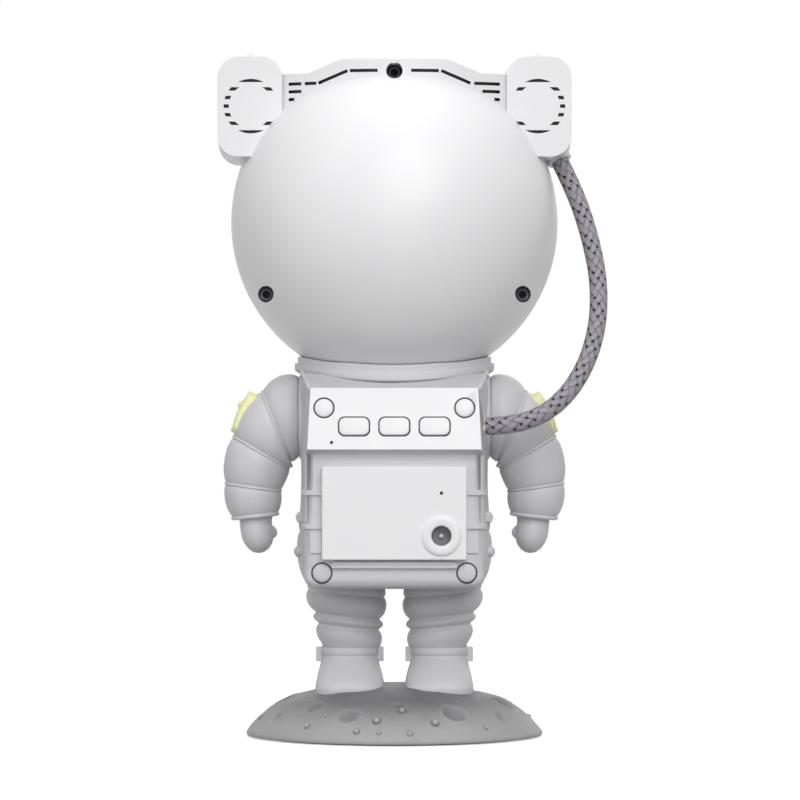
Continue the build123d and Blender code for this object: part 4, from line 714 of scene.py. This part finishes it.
# torso: a padded suit with shoulder pads, a seam round the waist and trim at the sides
torsoSizes = Named(
    foot=50, height=61.6, halfWidth=31.2, halfDepth=22, corner=13, bowl=59.5,
    # each ring: share of the height, and how much wider and deeper it is
    rings=[(0, -3.7, -4.5), (0.02, -1.7, -3), (0.065, -0.2, -1.5), (0.12, 0.8, -0.9), (0.2, 1.4, -0.5),
           (0.27, 1.1, -0.6), (0.292, 0.6, -1), (0.30, 0.2, -1.3), (0.308, 0.5, -1), (0.33, 0.8, -0.8),
           (0.4, 0.3, -0.9), (0.5, -0.1, -0.8), (0.62, -0.2, -0.5), (0.75, 0, 0), (0.88, 0.2, 0.5),
           (1, 0.2, 0.9), (1.1, 0.1, 1.2), (1.25, -0.2, 1.5)],
)
trimSizes = Named(
    padFace=31.95, back=-12.5, knobPlace=(32.3, 62), knobLean=0.1, clipHeight=73.2,
    pad=[(0, 0), (12.8, 0), (13.7, -0.15), (14, -0.5), (14.2, -1.6), (13.6, -4.5), (0, -4.5)],
    knob=[(0, 1), (0.7, 0.95), (1, 0.75), (1.15, 0.5), (1.5, 0.4), (1.85, 0.1), (1.9, -0.6),
          (1.9, -2.2)],
    # each clip block: out from the middle, then size, corner and edge
    clip=[(31.1, (3.4, 3.4, 2.4), 0.6, 0.4), (31.9, (1.6, 1.6, 1.6), 0.4, 0.3)],
)


def makeTorso():
    sizes = torsoSizes
    bm = bmesh.new()
    skinRings(bm, [addRoundedRing(bm, level(0, 0, sizes.foot + share * sizes.height), sizes.halfWidth + wider,
                                  sizes.halfDepth + deeper, sizes.corner)
                   for share, wider, deeper in sizes.rings])
    for vert in bm.verts:  # the neck's bowl stops the top
        spot = vert.co / mm
        room = sizes.bowl ** 2 - spot.x ** 2 - spot.y ** 2
        vert.co.z = min(vert.co.z, (headHeight - sqrt(max(room, 1))) * mm)
    showPiece("torsoSuit", bm, ["suit_grey"], ["torso_rear_shell", "torso_front_shell"], crease=60,
              smooth=True)


def makeTrim():
    sizes = trimSizes
    bm = bmesh.new()
    out, height = sizes.knobPlace
    for side in (-1, 1):
        addLathe(bm, sizes.pad, facing((side * sizes.padFace, 0, shoulderHeight), (side, 0, 0)), 72)
        knobPlace = facing((side * out, sizes.back, height), (side, 0, sizes.knobLean))
        addLathe(bm, sizes.knob, knobPlace, 32)
        for clipOut, *clip in sizes.clip:
            addBlock(bm, facing((side * clipOut, sizes.back, sizes.clipHeight), (side, 0, 0)), *clip)
    showPiece("torsoTrim", bm, ["suit_grey"], body="figure_body")


# collar: a stepped band that follows the head's curve; its step flattens out behind the neck
collarSizes = Named(
    halfWidth=33.3, halfDepth=27.5, stepped=1.5, easeStart=12, easeLength=14, least=0.25,
    # each ring: inset from the outline and distance from the head's middle
    rings=[(18, 54.9), (6, 54.9), (2, 54.9), (1.45, 54.9), (1.12, 55.15), (1, 55.6), (1, 57),
           (0.85, 57.25), (0.35, 57.3), (0.1, 57.5), (0, 57.85), (0, 59.1), (0.2, 59.48), (0.6, 59.6),
           (4, 59.6), (18, 59.6)],
)


def makeCollar():
    sizes = collarSizes
    bm = bmesh.new()
    rings = []
    for inset, radius in sizes.rings:
        ring = addRing(bm, Matrix(), sizes.halfWidth, sizes.halfDepth, 120)
        for vert in ring:
            spot = vert.co / mm
            ease = min(1, max(0, (abs(spot.x) - sizes.easeStart) / sizes.easeLength))
            eased = sizes.least + (1 - sizes.least) * ease * ease * (3 - 2 * ease)
            share = eased if inset < sizes.stepped else 1
            spot -= Vector((spot.x, spot.y, 0)).normalized() * inset * share
            spot.z = headHeight - sqrt(radius ** 2 - spot.x ** 2 - spot.y ** 2)
            vert.co = spot * mm
        rings.append(ring)
    skinRings(bm, rings, True)
    showPiece("neckCollar", bm, ["suit_grey"], ["neck_collar"], crease=45)


makeTorso()
makeTrim()
makeCollar()
print("torso and collar made")

# arms: puffs between raised cords, ending in a mitten with a thumb
armSizes = Named(
    face=32.1, pinch=0.55, swell=0.5, puff=0.6, crumple=0.16, crumpleScale=0.17,
    cord=0.48, cordSunk=0.1, cuff=1.5,
    # each ring: out from the shoulder, drop below it, radius and slope; every second one is a seam
    rings=[(-0.1, 0, 13.3, 0), (3.8, 0.5, 14, 9), (7.4, 2.9, 12.4, 22.5), (10.3, 6.9, 12.3, 42),
           (12.4, 11.7, 10.7, 60), (14.1, 16.8, 10.5, 74), (15.1, 23.4, 9.4, 82),
           (15.1, 28.3, 8.9, 88), (14.4, 33, 7.5, 96)],
    shares=[0, 0.04, 0.10, 0.18, 0.3, 0.5, 0.7, 0.82, 0.90, 0.96, 1],
    # each glove ring: out from the shoulder, drop below it, half width and half depth
    glove=[(14.4, 32.6, 6, 6.4), (14.3, 34.4, 5.4, 5.8), (14.1, 36.2, 5.4, 6), (13.8, 38.4, 5.5, 6.3),
           (13.6, 40.4, 5.3, 6.1), (13.4, 42.4, 4.6, 5.3), (13.3, 44, 3.4, 4), (13.3, 45.1, 1.9, 2.2),
           (13.3, 45.4, 0.7, 0.8)],
    thumbStart=(11.8, -0.8, 36.6), thumbEnd=(7.9, 2.2, 39.6), thumb=[2.3, 2.35, 2.25, 2, 1.4, 0.5],
)


def fromShoulder(out, along, drop):
    return Vector((armSizes.face + out, along, shoulderHeight - drop))


def armRing(values):
    out, drop, radius, slope = values
    turn = radians(slope)
    return facing(fromShoulder(out, 0, drop), (cos(turn), 0, -sin(turn)), (0, 1, 0)), radius


def makeArm(side):
    sizes = armSizes
    lastSeam = len(sizes.rings) - 1
    bm = bmesh.new()
    rings = []
    for first in range(0, lastSeam, 2):
        trios = list(zip(*sizes.rings[first:first + 3]))
        for share in sizes.shares[1 if first else 0:]:  # a smooth run through three rings
            weights = ((1 - share) * (1 - 2 * share), 4 * share * (1 - share), share * (2 * share - 1))
            values = [sum(weight * value for weight, value in zip(weights, trio)) for trio in trios]
            puffed = (4 * share * (1 - share)) ** sizes.puff
            pinched = sizes.pinch * (1 - puffed) ** 2 if first or share > 0.5 else 0
            values[2] += sizes.swell * puffed - pinched
            place, radius = armRing(values)
            rings.append(addRing(bm, place, radius, radius, 56))
    skinRings(bm, rings)
    for vert in bm.verts:
        spot = vert.co / mm * sizes.crumpleScale
        crumple = Vector((noise.noise(spot), noise.noise(spot + Vector((9, 4, 2))), 0))
        vert.co += crumple * sizes.crumple * mm
    for seam in range(2, lastSeam + 1, 2):
        place, radius = armRing(sizes.rings[seam])
        thick = sizes.cord * (sizes.cuff if seam == lastSeam else 1)
        addHoop(bm, place, radius - sizes.cordSunk, thick)
    skinRings(bm, [addRing(bm, level(*fromShoulder(out, 0, drop)), wide, deep, 40)
                   for out, drop, wide, deep in sizes.glove])
    start, end = fromShoulder(*sizes.thumbStart), fromShoulder(*sizes.thumbEnd)
    thumb = []
    for step, radius in enumerate(sizes.thumb):
        share = sin(step / (len(sizes.thumb) - 1) * pi / 2)
        thumb.append(addRing(bm, facing(start.lerp(end, share), end - start), radius, radius, 28))
    skinRings(bm, thumb)
    if side == "left":
        flipAcross(bm)
    showPiece(side + "Arm", bm, ["suit_grey"], ["arm_" + side], crease=60)


# badge: a curved plate that hugs the upper arm, with a plain round nub
badgeSizes = Named(
    centre=(51.2, 0, 108.2), slope=25, half=(5.6, 7.5), corner=3.4,
    leastCorner=0.6, bowAcross=15, bowAlong=26,
    # each ring: inset from the outline and height
    rings=[(0, -1.3), (0, 1), (0.15, 1.35), (0.5, 1.5), (1, 1.5), (1.3, 1.38), (1.5, 1.2),
           (2.6, 1.22), (4.2, 1.25)],
    nub=[(0, 0.9), (0.7, 0.85), (1.1, 0.65), (1.3, 0.3), (1.35, -0.4), (0, -0.4)],
    nubPlace=(0, 2.2, 1.2),
)


def makeBadge(side):
    sizes = badgeSizes
    bm = bmesh.new()
    skinRings(bm, insetRings(bm, Matrix(), sizes.rings, *sizes.half, sizes.corner, 56, sizes.leastCorner))
    addLathe(bm, sizes.nub, level(*sizes.nubPlace), 32)
    for vert in bm.verts:  # bowed both ways to follow the puff
        across, along, _ = vert.co / mm
        vert.co.z -= (across ** 2 / (2 * sizes.bowAcross) + along ** 2 / (2 * sizes.bowAlong)) * mm
    slope = radians(sizes.slope)
    place = facing(sizes.centre, (cos(slope), 0, sin(slope)))
    ops.transform(bm, matrix=place, verts=bm.verts)
    if side == "left":
        flipAcross(bm)
    showPiece(side + "Badge", bm, ["badge_yellow"], ["arm_badge_" + side])


for side in ("left", "right"):
    makeArm(side)
    makeBadge(side)
print("arms and badges made")

# backpack: the moulded shell with rounded edges, a whiter and narrower control face, a bowed roof and foot
packSizes = Named(
    edge=0.45, shortest=2.5, inside=-20, slopeNormal=(0, -0.978148, 0.207912),
    slopeOrigin=(0, -39.574, 106), halfWidth=29.4, rear=-37, lipFoot=93, slopeFoot=96,
    slopeHeight=20, slopeSide=27, footInset=1.1, topInset=2.1, roof=117.2, roofSag=1.3,
    foot=51, footHeight=1.2, footDrop=1.3, footStart=22, footLength=7, footRise=2.2,
    strapEdge=0.35, ribTop=(30.4, -20.8, 121.4), ribFoot=(27.7, -37, 115.9), rib=0.75,
    backing=[(56.8, 16, 39), 2, 0.5], backingPlace=(0, -16, 72),  # size, corner, edge
)


def isControlFace(face):
    normal = Vector(packSizes.slopeNormal)
    away = (face.calc_center_median() / mm - Vector(packSizes.slopeOrigin)).dot(normal)
    return face.normal.dot(normal) > 0.99 and abs(away) < 0.3


def onPackOutside(edge):
    middle = (edge.verts[0].co + edge.verts[1].co) / 2 / mm
    return middle.y < packSizes.inside and edge.calc_length() > packSizes.shortest * mm


def shapePack(spot):
    sizes = packSizes
    x, y, z = spot
    onSlope = z > sizes.slopeFoot - 0.6 and y < sizes.rear + 1
    onLip = z > sizes.lipFoot and y < sizes.rear - 0.05
    if (onSlope or onLip) and abs(x) > sizes.slopeSide:
        up = (z - sizes.slopeFoot) / sizes.slopeHeight
        x -= copysign(sizes.footInset + (sizes.topInset - sizes.footInset) * up, x)
    if z > sizes.roof and y > sizes.rear + 1:  # the collar hangs over the roof
        z -= sizes.roofSag * max(0, 1 - (x / sizes.halfWidth) ** 2)
    if z < sizes.foot + sizes.footHeight:
        low = min(1, max(0, 1 - (z - sizes.foot) / sizes.footHeight))
        corner = max(0, (abs(x) - sizes.footStart) / sizes.footLength)
        z -= low * (sizes.footDrop - sizes.footRise * corner ** 2)
    return Vector((x, y, z))


def makePackRibs():
    sizes = packSizes
    bm = bmesh.new()
    for side in (-1, 1):
        ends = [(side * out, back, rise) for out, back, rise in (sizes.ribTop, sizes.ribFoot)]
        addBar(bm, *ends, sizes.rib)
    addBlock(bm, level(*sizes.backingPlace), *sizes.backing)  # closes the seam at the hips
    showPiece("packRibs", bm, ["suit_grey"], body="figure_body")


softenedPiece("packShell", "backpack_shell", packSizes.edge, "suit_grey", onPackOutside, 3,
              ("panel_white", isControlFace), shapePack)
softenedPiece("packStraps", "pack_straps", packSizes.strapEdge, "suit_grey", None, 2)
makePackRibs()

# rear panel with its socket's hole, and a dark disc of painted shade for a pinhole
panelSizes = Named(
    half=(23.6, 15.25), middle=(0, -37, 75.25), corner=0.8, thick=4,
    levels=[(0, 0), (0, 3.5), (0.1, 3.8), (0.4, 4)], socketHole=(15.3, -7.35), socketRadius=4.62,
    pinholePlace=(15.3, 6.55), pinhole=[(0, 0.015), (0.5, 0.015), (0.58, 0), (0.58, -0.3), (0, -0.3)],
)


def makePanel():
    sizes = panelSizes
    bm = bmesh.new()
    place = facing(sizes.middle, (0, -1, 0))
    hole = sizes.socketRadius
    rings = [addRing(bm, place @ level(*sizes.socketHole, 0), hole, hole, 64)]
    rings += insetRings(bm, place, sizes.levels, *sizes.half, sizes.corner)
    rings.append(addRing(bm, place @ level(*sizes.socketHole, sizes.thick), hole, hole, 64))
    skinRings(bm, rings, True)
    # a dark disc of painted shade for the pinhole
    addLathe(bm, sizes.pinhole, place @ level(*sizes.pinholePlace, sizes.thick), 24, 1)
    showPiece("rearPanel", bm, ["panel_white", "line_black"], ["backpack_panel"], even=True)


makePanel()

# buttons and caps, with a dark ring of painted shade sunk in the gap round each of them
slopePlace = facing(packSizes.slopeOrigin, packSizes.slopeNormal)
buttonSizes = Named(size=(9.7, 5.8), corner=1.95, row=-2.6, pitch=13.1, proud=0.7, sunk=2.0,
                    edge=0.5, gap=0.45, line=[(0, -0.6), (0, -0.2), (0.43, -0.2), (0.43, -0.6)])
capSizes = Named(
    upper=(22.9, 3.6), lower=(23.6, 55.7),
    profile=[(0, 0.62), (1.1, 0.58), (1.95, 0.48), (2.55, 0.3), (2.9, 0.08), (3.05, -0.25), (3.05, -1.35),
             (0, -1.35)],
    line=[(3.07, -0.6), (3.07, -0.2), (3.53, -0.2), (3.53, -0.6), (3.07, -0.6)],
)


def makeButton(name, step, shadeRings):
    sizes = buttonSizes
    wide, tall = sizes.size
    deep = sizes.proud + sizes.sunk
    place = slopePlace @ level(step * sizes.pitch, sizes.row, 0)
    bm = bmesh.new()
    addBlock(bm, place @ level(0, 0, sizes.proud - deep / 2), (wide, tall, deep), sizes.corner, sizes.edge, 4)
    showPiece(name + "Button", bm, ["panel_white"], ["button_" + name])
    # painted shade: a dark ring sunk in the gap round the button
    skinRings(shadeRings, insetRings(shadeRings, place, sizes.line, wide / 2 + sizes.gap, tall / 2 + sizes.gap,
                                sizes.corner + sizes.gap), True)


def makeCaps(shadeRings):
    out, row = capSizes.upper
    outLow, heightLow = capSizes.lower
    bm = bmesh.new()
    for side in (-1, 1):
        upper = slopePlace @ level(side * out, row, 0)
        lower = facing((side * outLow, packSizes.rear, heightLow), (0, -1, 0))
        for look, place in enumerate((upper, lower)):
            addLathe(bm, capSizes.profile, place, 48, look)
            # painted shade: a dark ring sunk in the gap round the cap
            addLathe(shadeRings, capSizes.line, place, 48)
    showPiece("cornerCaps", bm, ["panel_white", "suit_grey"], ["corner_caps"])


gapShadeRings = bmesh.new()
for name, step in (("left", -1), ("middle", 0), ("right", 1)):
    makeButton(name, step, gapShadeRings)
makeCaps(gapShadeRings)
showPiece("gapShadeRings", gapShadeRings, ["line_black"], body="figure_body")

# power socket: a white domed ring over a lit grey bore with a pin
socketSizes = Named(
    place=(15.3, -41, 67.9),
    ring=[(3.28, 0.32), (3.28, 0.6), (3.5, 0.82), (4.2, 0.97), (5.4, 0.97), (6.1, 0.82), (6.5, 0.45),
          (6.6, 0), (6.6, -0.2), (4.65, -0.2), (4.65, 0.32), (3.28, 0.32)],
    jack=[(0, -11.5), (4.5, -11.5), (4.5, 0.3), (3.25, 0.3)],
    bore=[(3.25, 0.3), (3.2, -5.4), (2.6, -5.8), (0.75, -5.8)],
    pin=[(0.75, -5.8), (0.75, -1.9), (0.65, -1.6), (0.4, -1.42), (0, -1.4)],
)


def makeSocket():
    place = facing(socketSizes.place, (0, -1, 0))
    bm = bmesh.new()
    addLathe(bm, socketSizes.ring, place, 72)
    showPiece("socketRing", bm, ["panel_white"], ["socket_ring"])
    bm = bmesh.new()
    for look, part in enumerate((socketSizes.jack, socketSizes.bore, socketSizes.pin)):
        addLathe(bm, part, place, 56, look)
    showPiece("powerJack", bm, ["panel_white", "bore_grey", "suit_grey"], ["dc_jack"])


makeSocket()
print("backpack made")

# head: screws with a round recess, softened ears, lamp bar and visor frame
screwSizes = Named(
    circle=48.8, bearings=(90, 210, 330), rear=-16.5,
    head=[(0, -1.4), (2.55, -1.4), (2.55, 0.5), (2.35, 0.85), (1.95, 1), (1.3, 1), (1.15, 0.85)],
    recess=[(1.15, 0.85), (1.1, 0), (0, -0.05)],
)
earSizes = Named(edge=0.5, shortest=1.5, outside=36, vent=(47.4, 37.5), ventReach=9.5)
barSizes = Named(round=2.2, roundFrom=49.3, sink=0.9, sinkOver=0.8, reach=2.5, centre=53.8,
                 side=49.4, inner=17.2, outer=28.3)


def makeHeadScrews():
    circle = screwSizes.circle
    bm = bmesh.new()
    for bearing in screwSizes.bearings:
        turn = radians(bearing)
        spot = (circle * cos(turn), screwSizes.rear, headHeight + circle * sin(turn))
        # the screw head in steel, its recess dark with painted shade
        for look, part in enumerate((screwSizes.head, screwSizes.recess)):
            addLathe(bm, part, facing(spot, (0, -1, 0)), 40, look)
    showPiece("headScrews", bm, ["screw_steel", "vent_black"], ["head_screws"])


def onEarOutside(edge):
    outside = abs(edge.verts[0].co.x) > earSizes.outside * mm
    return outside and edge.calc_length() > earSizes.shortest * mm


def inEarVent(face):
    spot = face.calc_center_median() / mm
    out, rise = earSizes.vent
    away = hypot(abs(spot.x) - out, spot.z - headHeight - rise)
    return abs(face.normal.y) < 0.5 and away < earSizes.ventReach


def barRoof(x):
    share = min(1, max(0, (abs(x) - barSizes.inner) / (barSizes.outer - barSizes.inner)))
    return headHeight + barSizes.centre + (barSizes.side - barSizes.centre) * share


def onBarRoof(edge):
    rises = sorted(face.normal.z for face in edge.link_faces)
    middle = (edge.verts[0].co.z + edge.verts[1].co.z) / 2 / mm - headHeight
    return rises[-1] > 0.7 and rises[0] < 0.4 and middle > barSizes.roundFrom


def inBarSlot(face):
    spot = face.calc_center_median() / mm
    return abs(face.normal.y) < 0.4 and spot.z < barRoof(spot.x) - barSizes.reach


def settleBarRoof(spot):  # the roof stands a little lower, its rounded edge with it
    above = (spot.z - barRoof(spot.x) + barSizes.reach) / barSizes.sinkOver
    return spot - Vector((0, 0, barSizes.sink * min(1, max(0, above))))


makeHeadScrews()
# the walls of the ears' vents and of the lamp bar's slots are dark with painted shade
for side in ("left", "right"):
    softenedPiece(side + "Ear", "ear_box_" + side, earSizes.edge, "ear_white", onEarOutside, 3,
                  ("vent_black", inEarVent))
softenedPiece("earCovers", "ear_covers", earSizes.edge, "ear_white")
softenedPiece("lampBar", "lamp_bar", barSizes.round, "ear_white", onBarRoof, 6,
              ("vent_black", inBarSlot), settleBarRoof)
softenedPiece("visorFrame", "visor_frame", 0.5, "shell_white")
softenedPiece("chestUnit", "chest_unit", 0.35, "suit_grey", None, 2)
softenedPiece("lensBezel", "lens_bezel", 0.4, "dark_plastic")
print("head pieces made")

# every CAD node that still shows takes its slot's finish
for name, node in nodes.items():
    if not node.hide_render:
        for place in node.material_slots:
            place.material = finishes[slotOf[name]]
print("nodes dressed")

# studio: a floor and a world that are white to the camera and to reflections, and soft lights
floorLook = Named(size=0.9, drop=-0.05, ground=0.80, glow=0.62, bounce=0.3)
worldLook = Named(light=0.27)
studioLights = [  # each light: name, place, size and power
    ("keyBox", (0.45, -2.0, 1.35), 1.8, 32.0),
    ("lowBox", (0.0, -1.6, 0.25), 0.8, 2.2),
    ("fillBox", (-1.5, -1.2, 0.7), 1.8, 7.0),
    ("topBox", (0.1, 0.0, 1.9), 1.8, 12.0),
    ("backBox", (0.3, 2.0, 1.0), 1.8, 9.0),
]
lightAim = Vector((0, 0, 0.12))


def grey(value):
    return (value, value, value, 1)


def seenWhite(start):  # 1 where the camera, a mirror or a glass looks, 0 for light that bounces
    seen = start.node("LightPath", out="Is Camera Ray")
    shiny = start.node("LightPath", out="Is Glossy Ray")
    clear = start.node("LightPath", out="Is Transmission Ray")
    return (seen + shiny + clear).between(0.0, 1.0)


def makeFloor():
    bm = bmesh.new()
    ops.create_grid(bm, x_segments=1, y_segments=1, size=floorLook.size,
                          matrix=level(0, 0, floorLook.drop))
    mesh = bpy.data.meshes.new("studioFloor")
    bm.to_mesh(mesh)
    bm.free()
    floor = bpy.data.objects.new("studioFloor", mesh)
    scene.collection.objects.link(floor)
    finish = bpy.data.materials.new("studioFloor")
    finish.use_nodes = True
    tree = finish.node_tree
    tree.nodes.remove(tree.nodes["Principled BSDF"])
    start = Wire(tree)
    ground = start.node("BsdfDiffuse", {"Color": grey(floorLook.ground)})
    bounce = start.node("BsdfDiffuse", {"Color": grey(floorLook.bounce)})
    glow = start.node("Emission", {"Color": grey(1), "Strength": floorLook.glow})
    both = start.node("AddShader", {0: ground, 1: glow})
    mixed = start.node("MixShader", {0: seenWhite(start), 1: bounce, 2: both})
    tree.links.new(mixed.socket, tree.nodes["Material Output"].inputs["Surface"])
    mesh.materials.append(finish)


def makeWorld():
    world = bpy.data.worlds.new("studioWhite")
    world.use_nodes = True
    scene.world = world
    background = world.node_tree.nodes["Background"]
    background.inputs["Color"].default_value = grey(1)
    white = seenWhite(Wire(world.node_tree))
    feed(background, {"Strength": worldLook.light + white * (1 - worldLook.light)})


def makeLights():
    for name, place, size, power in studioLights:
        lamp = bpy.data.lights.new(name, "AREA")
        lamp.shape = "DISK"
        lamp.size = size
        lamp.energy = power
        holder = bpy.data.objects.new(name, lamp)
        holder.location = place
        holder.rotation_euler = (lightAim - Vector(place)).to_track_quat("-Z", "Y").to_euler()
        scene.collection.objects.link(holder)


makeFloor()
makeWorld()
makeLights()
print("studio lit")

bpy.context.view_layer.update()
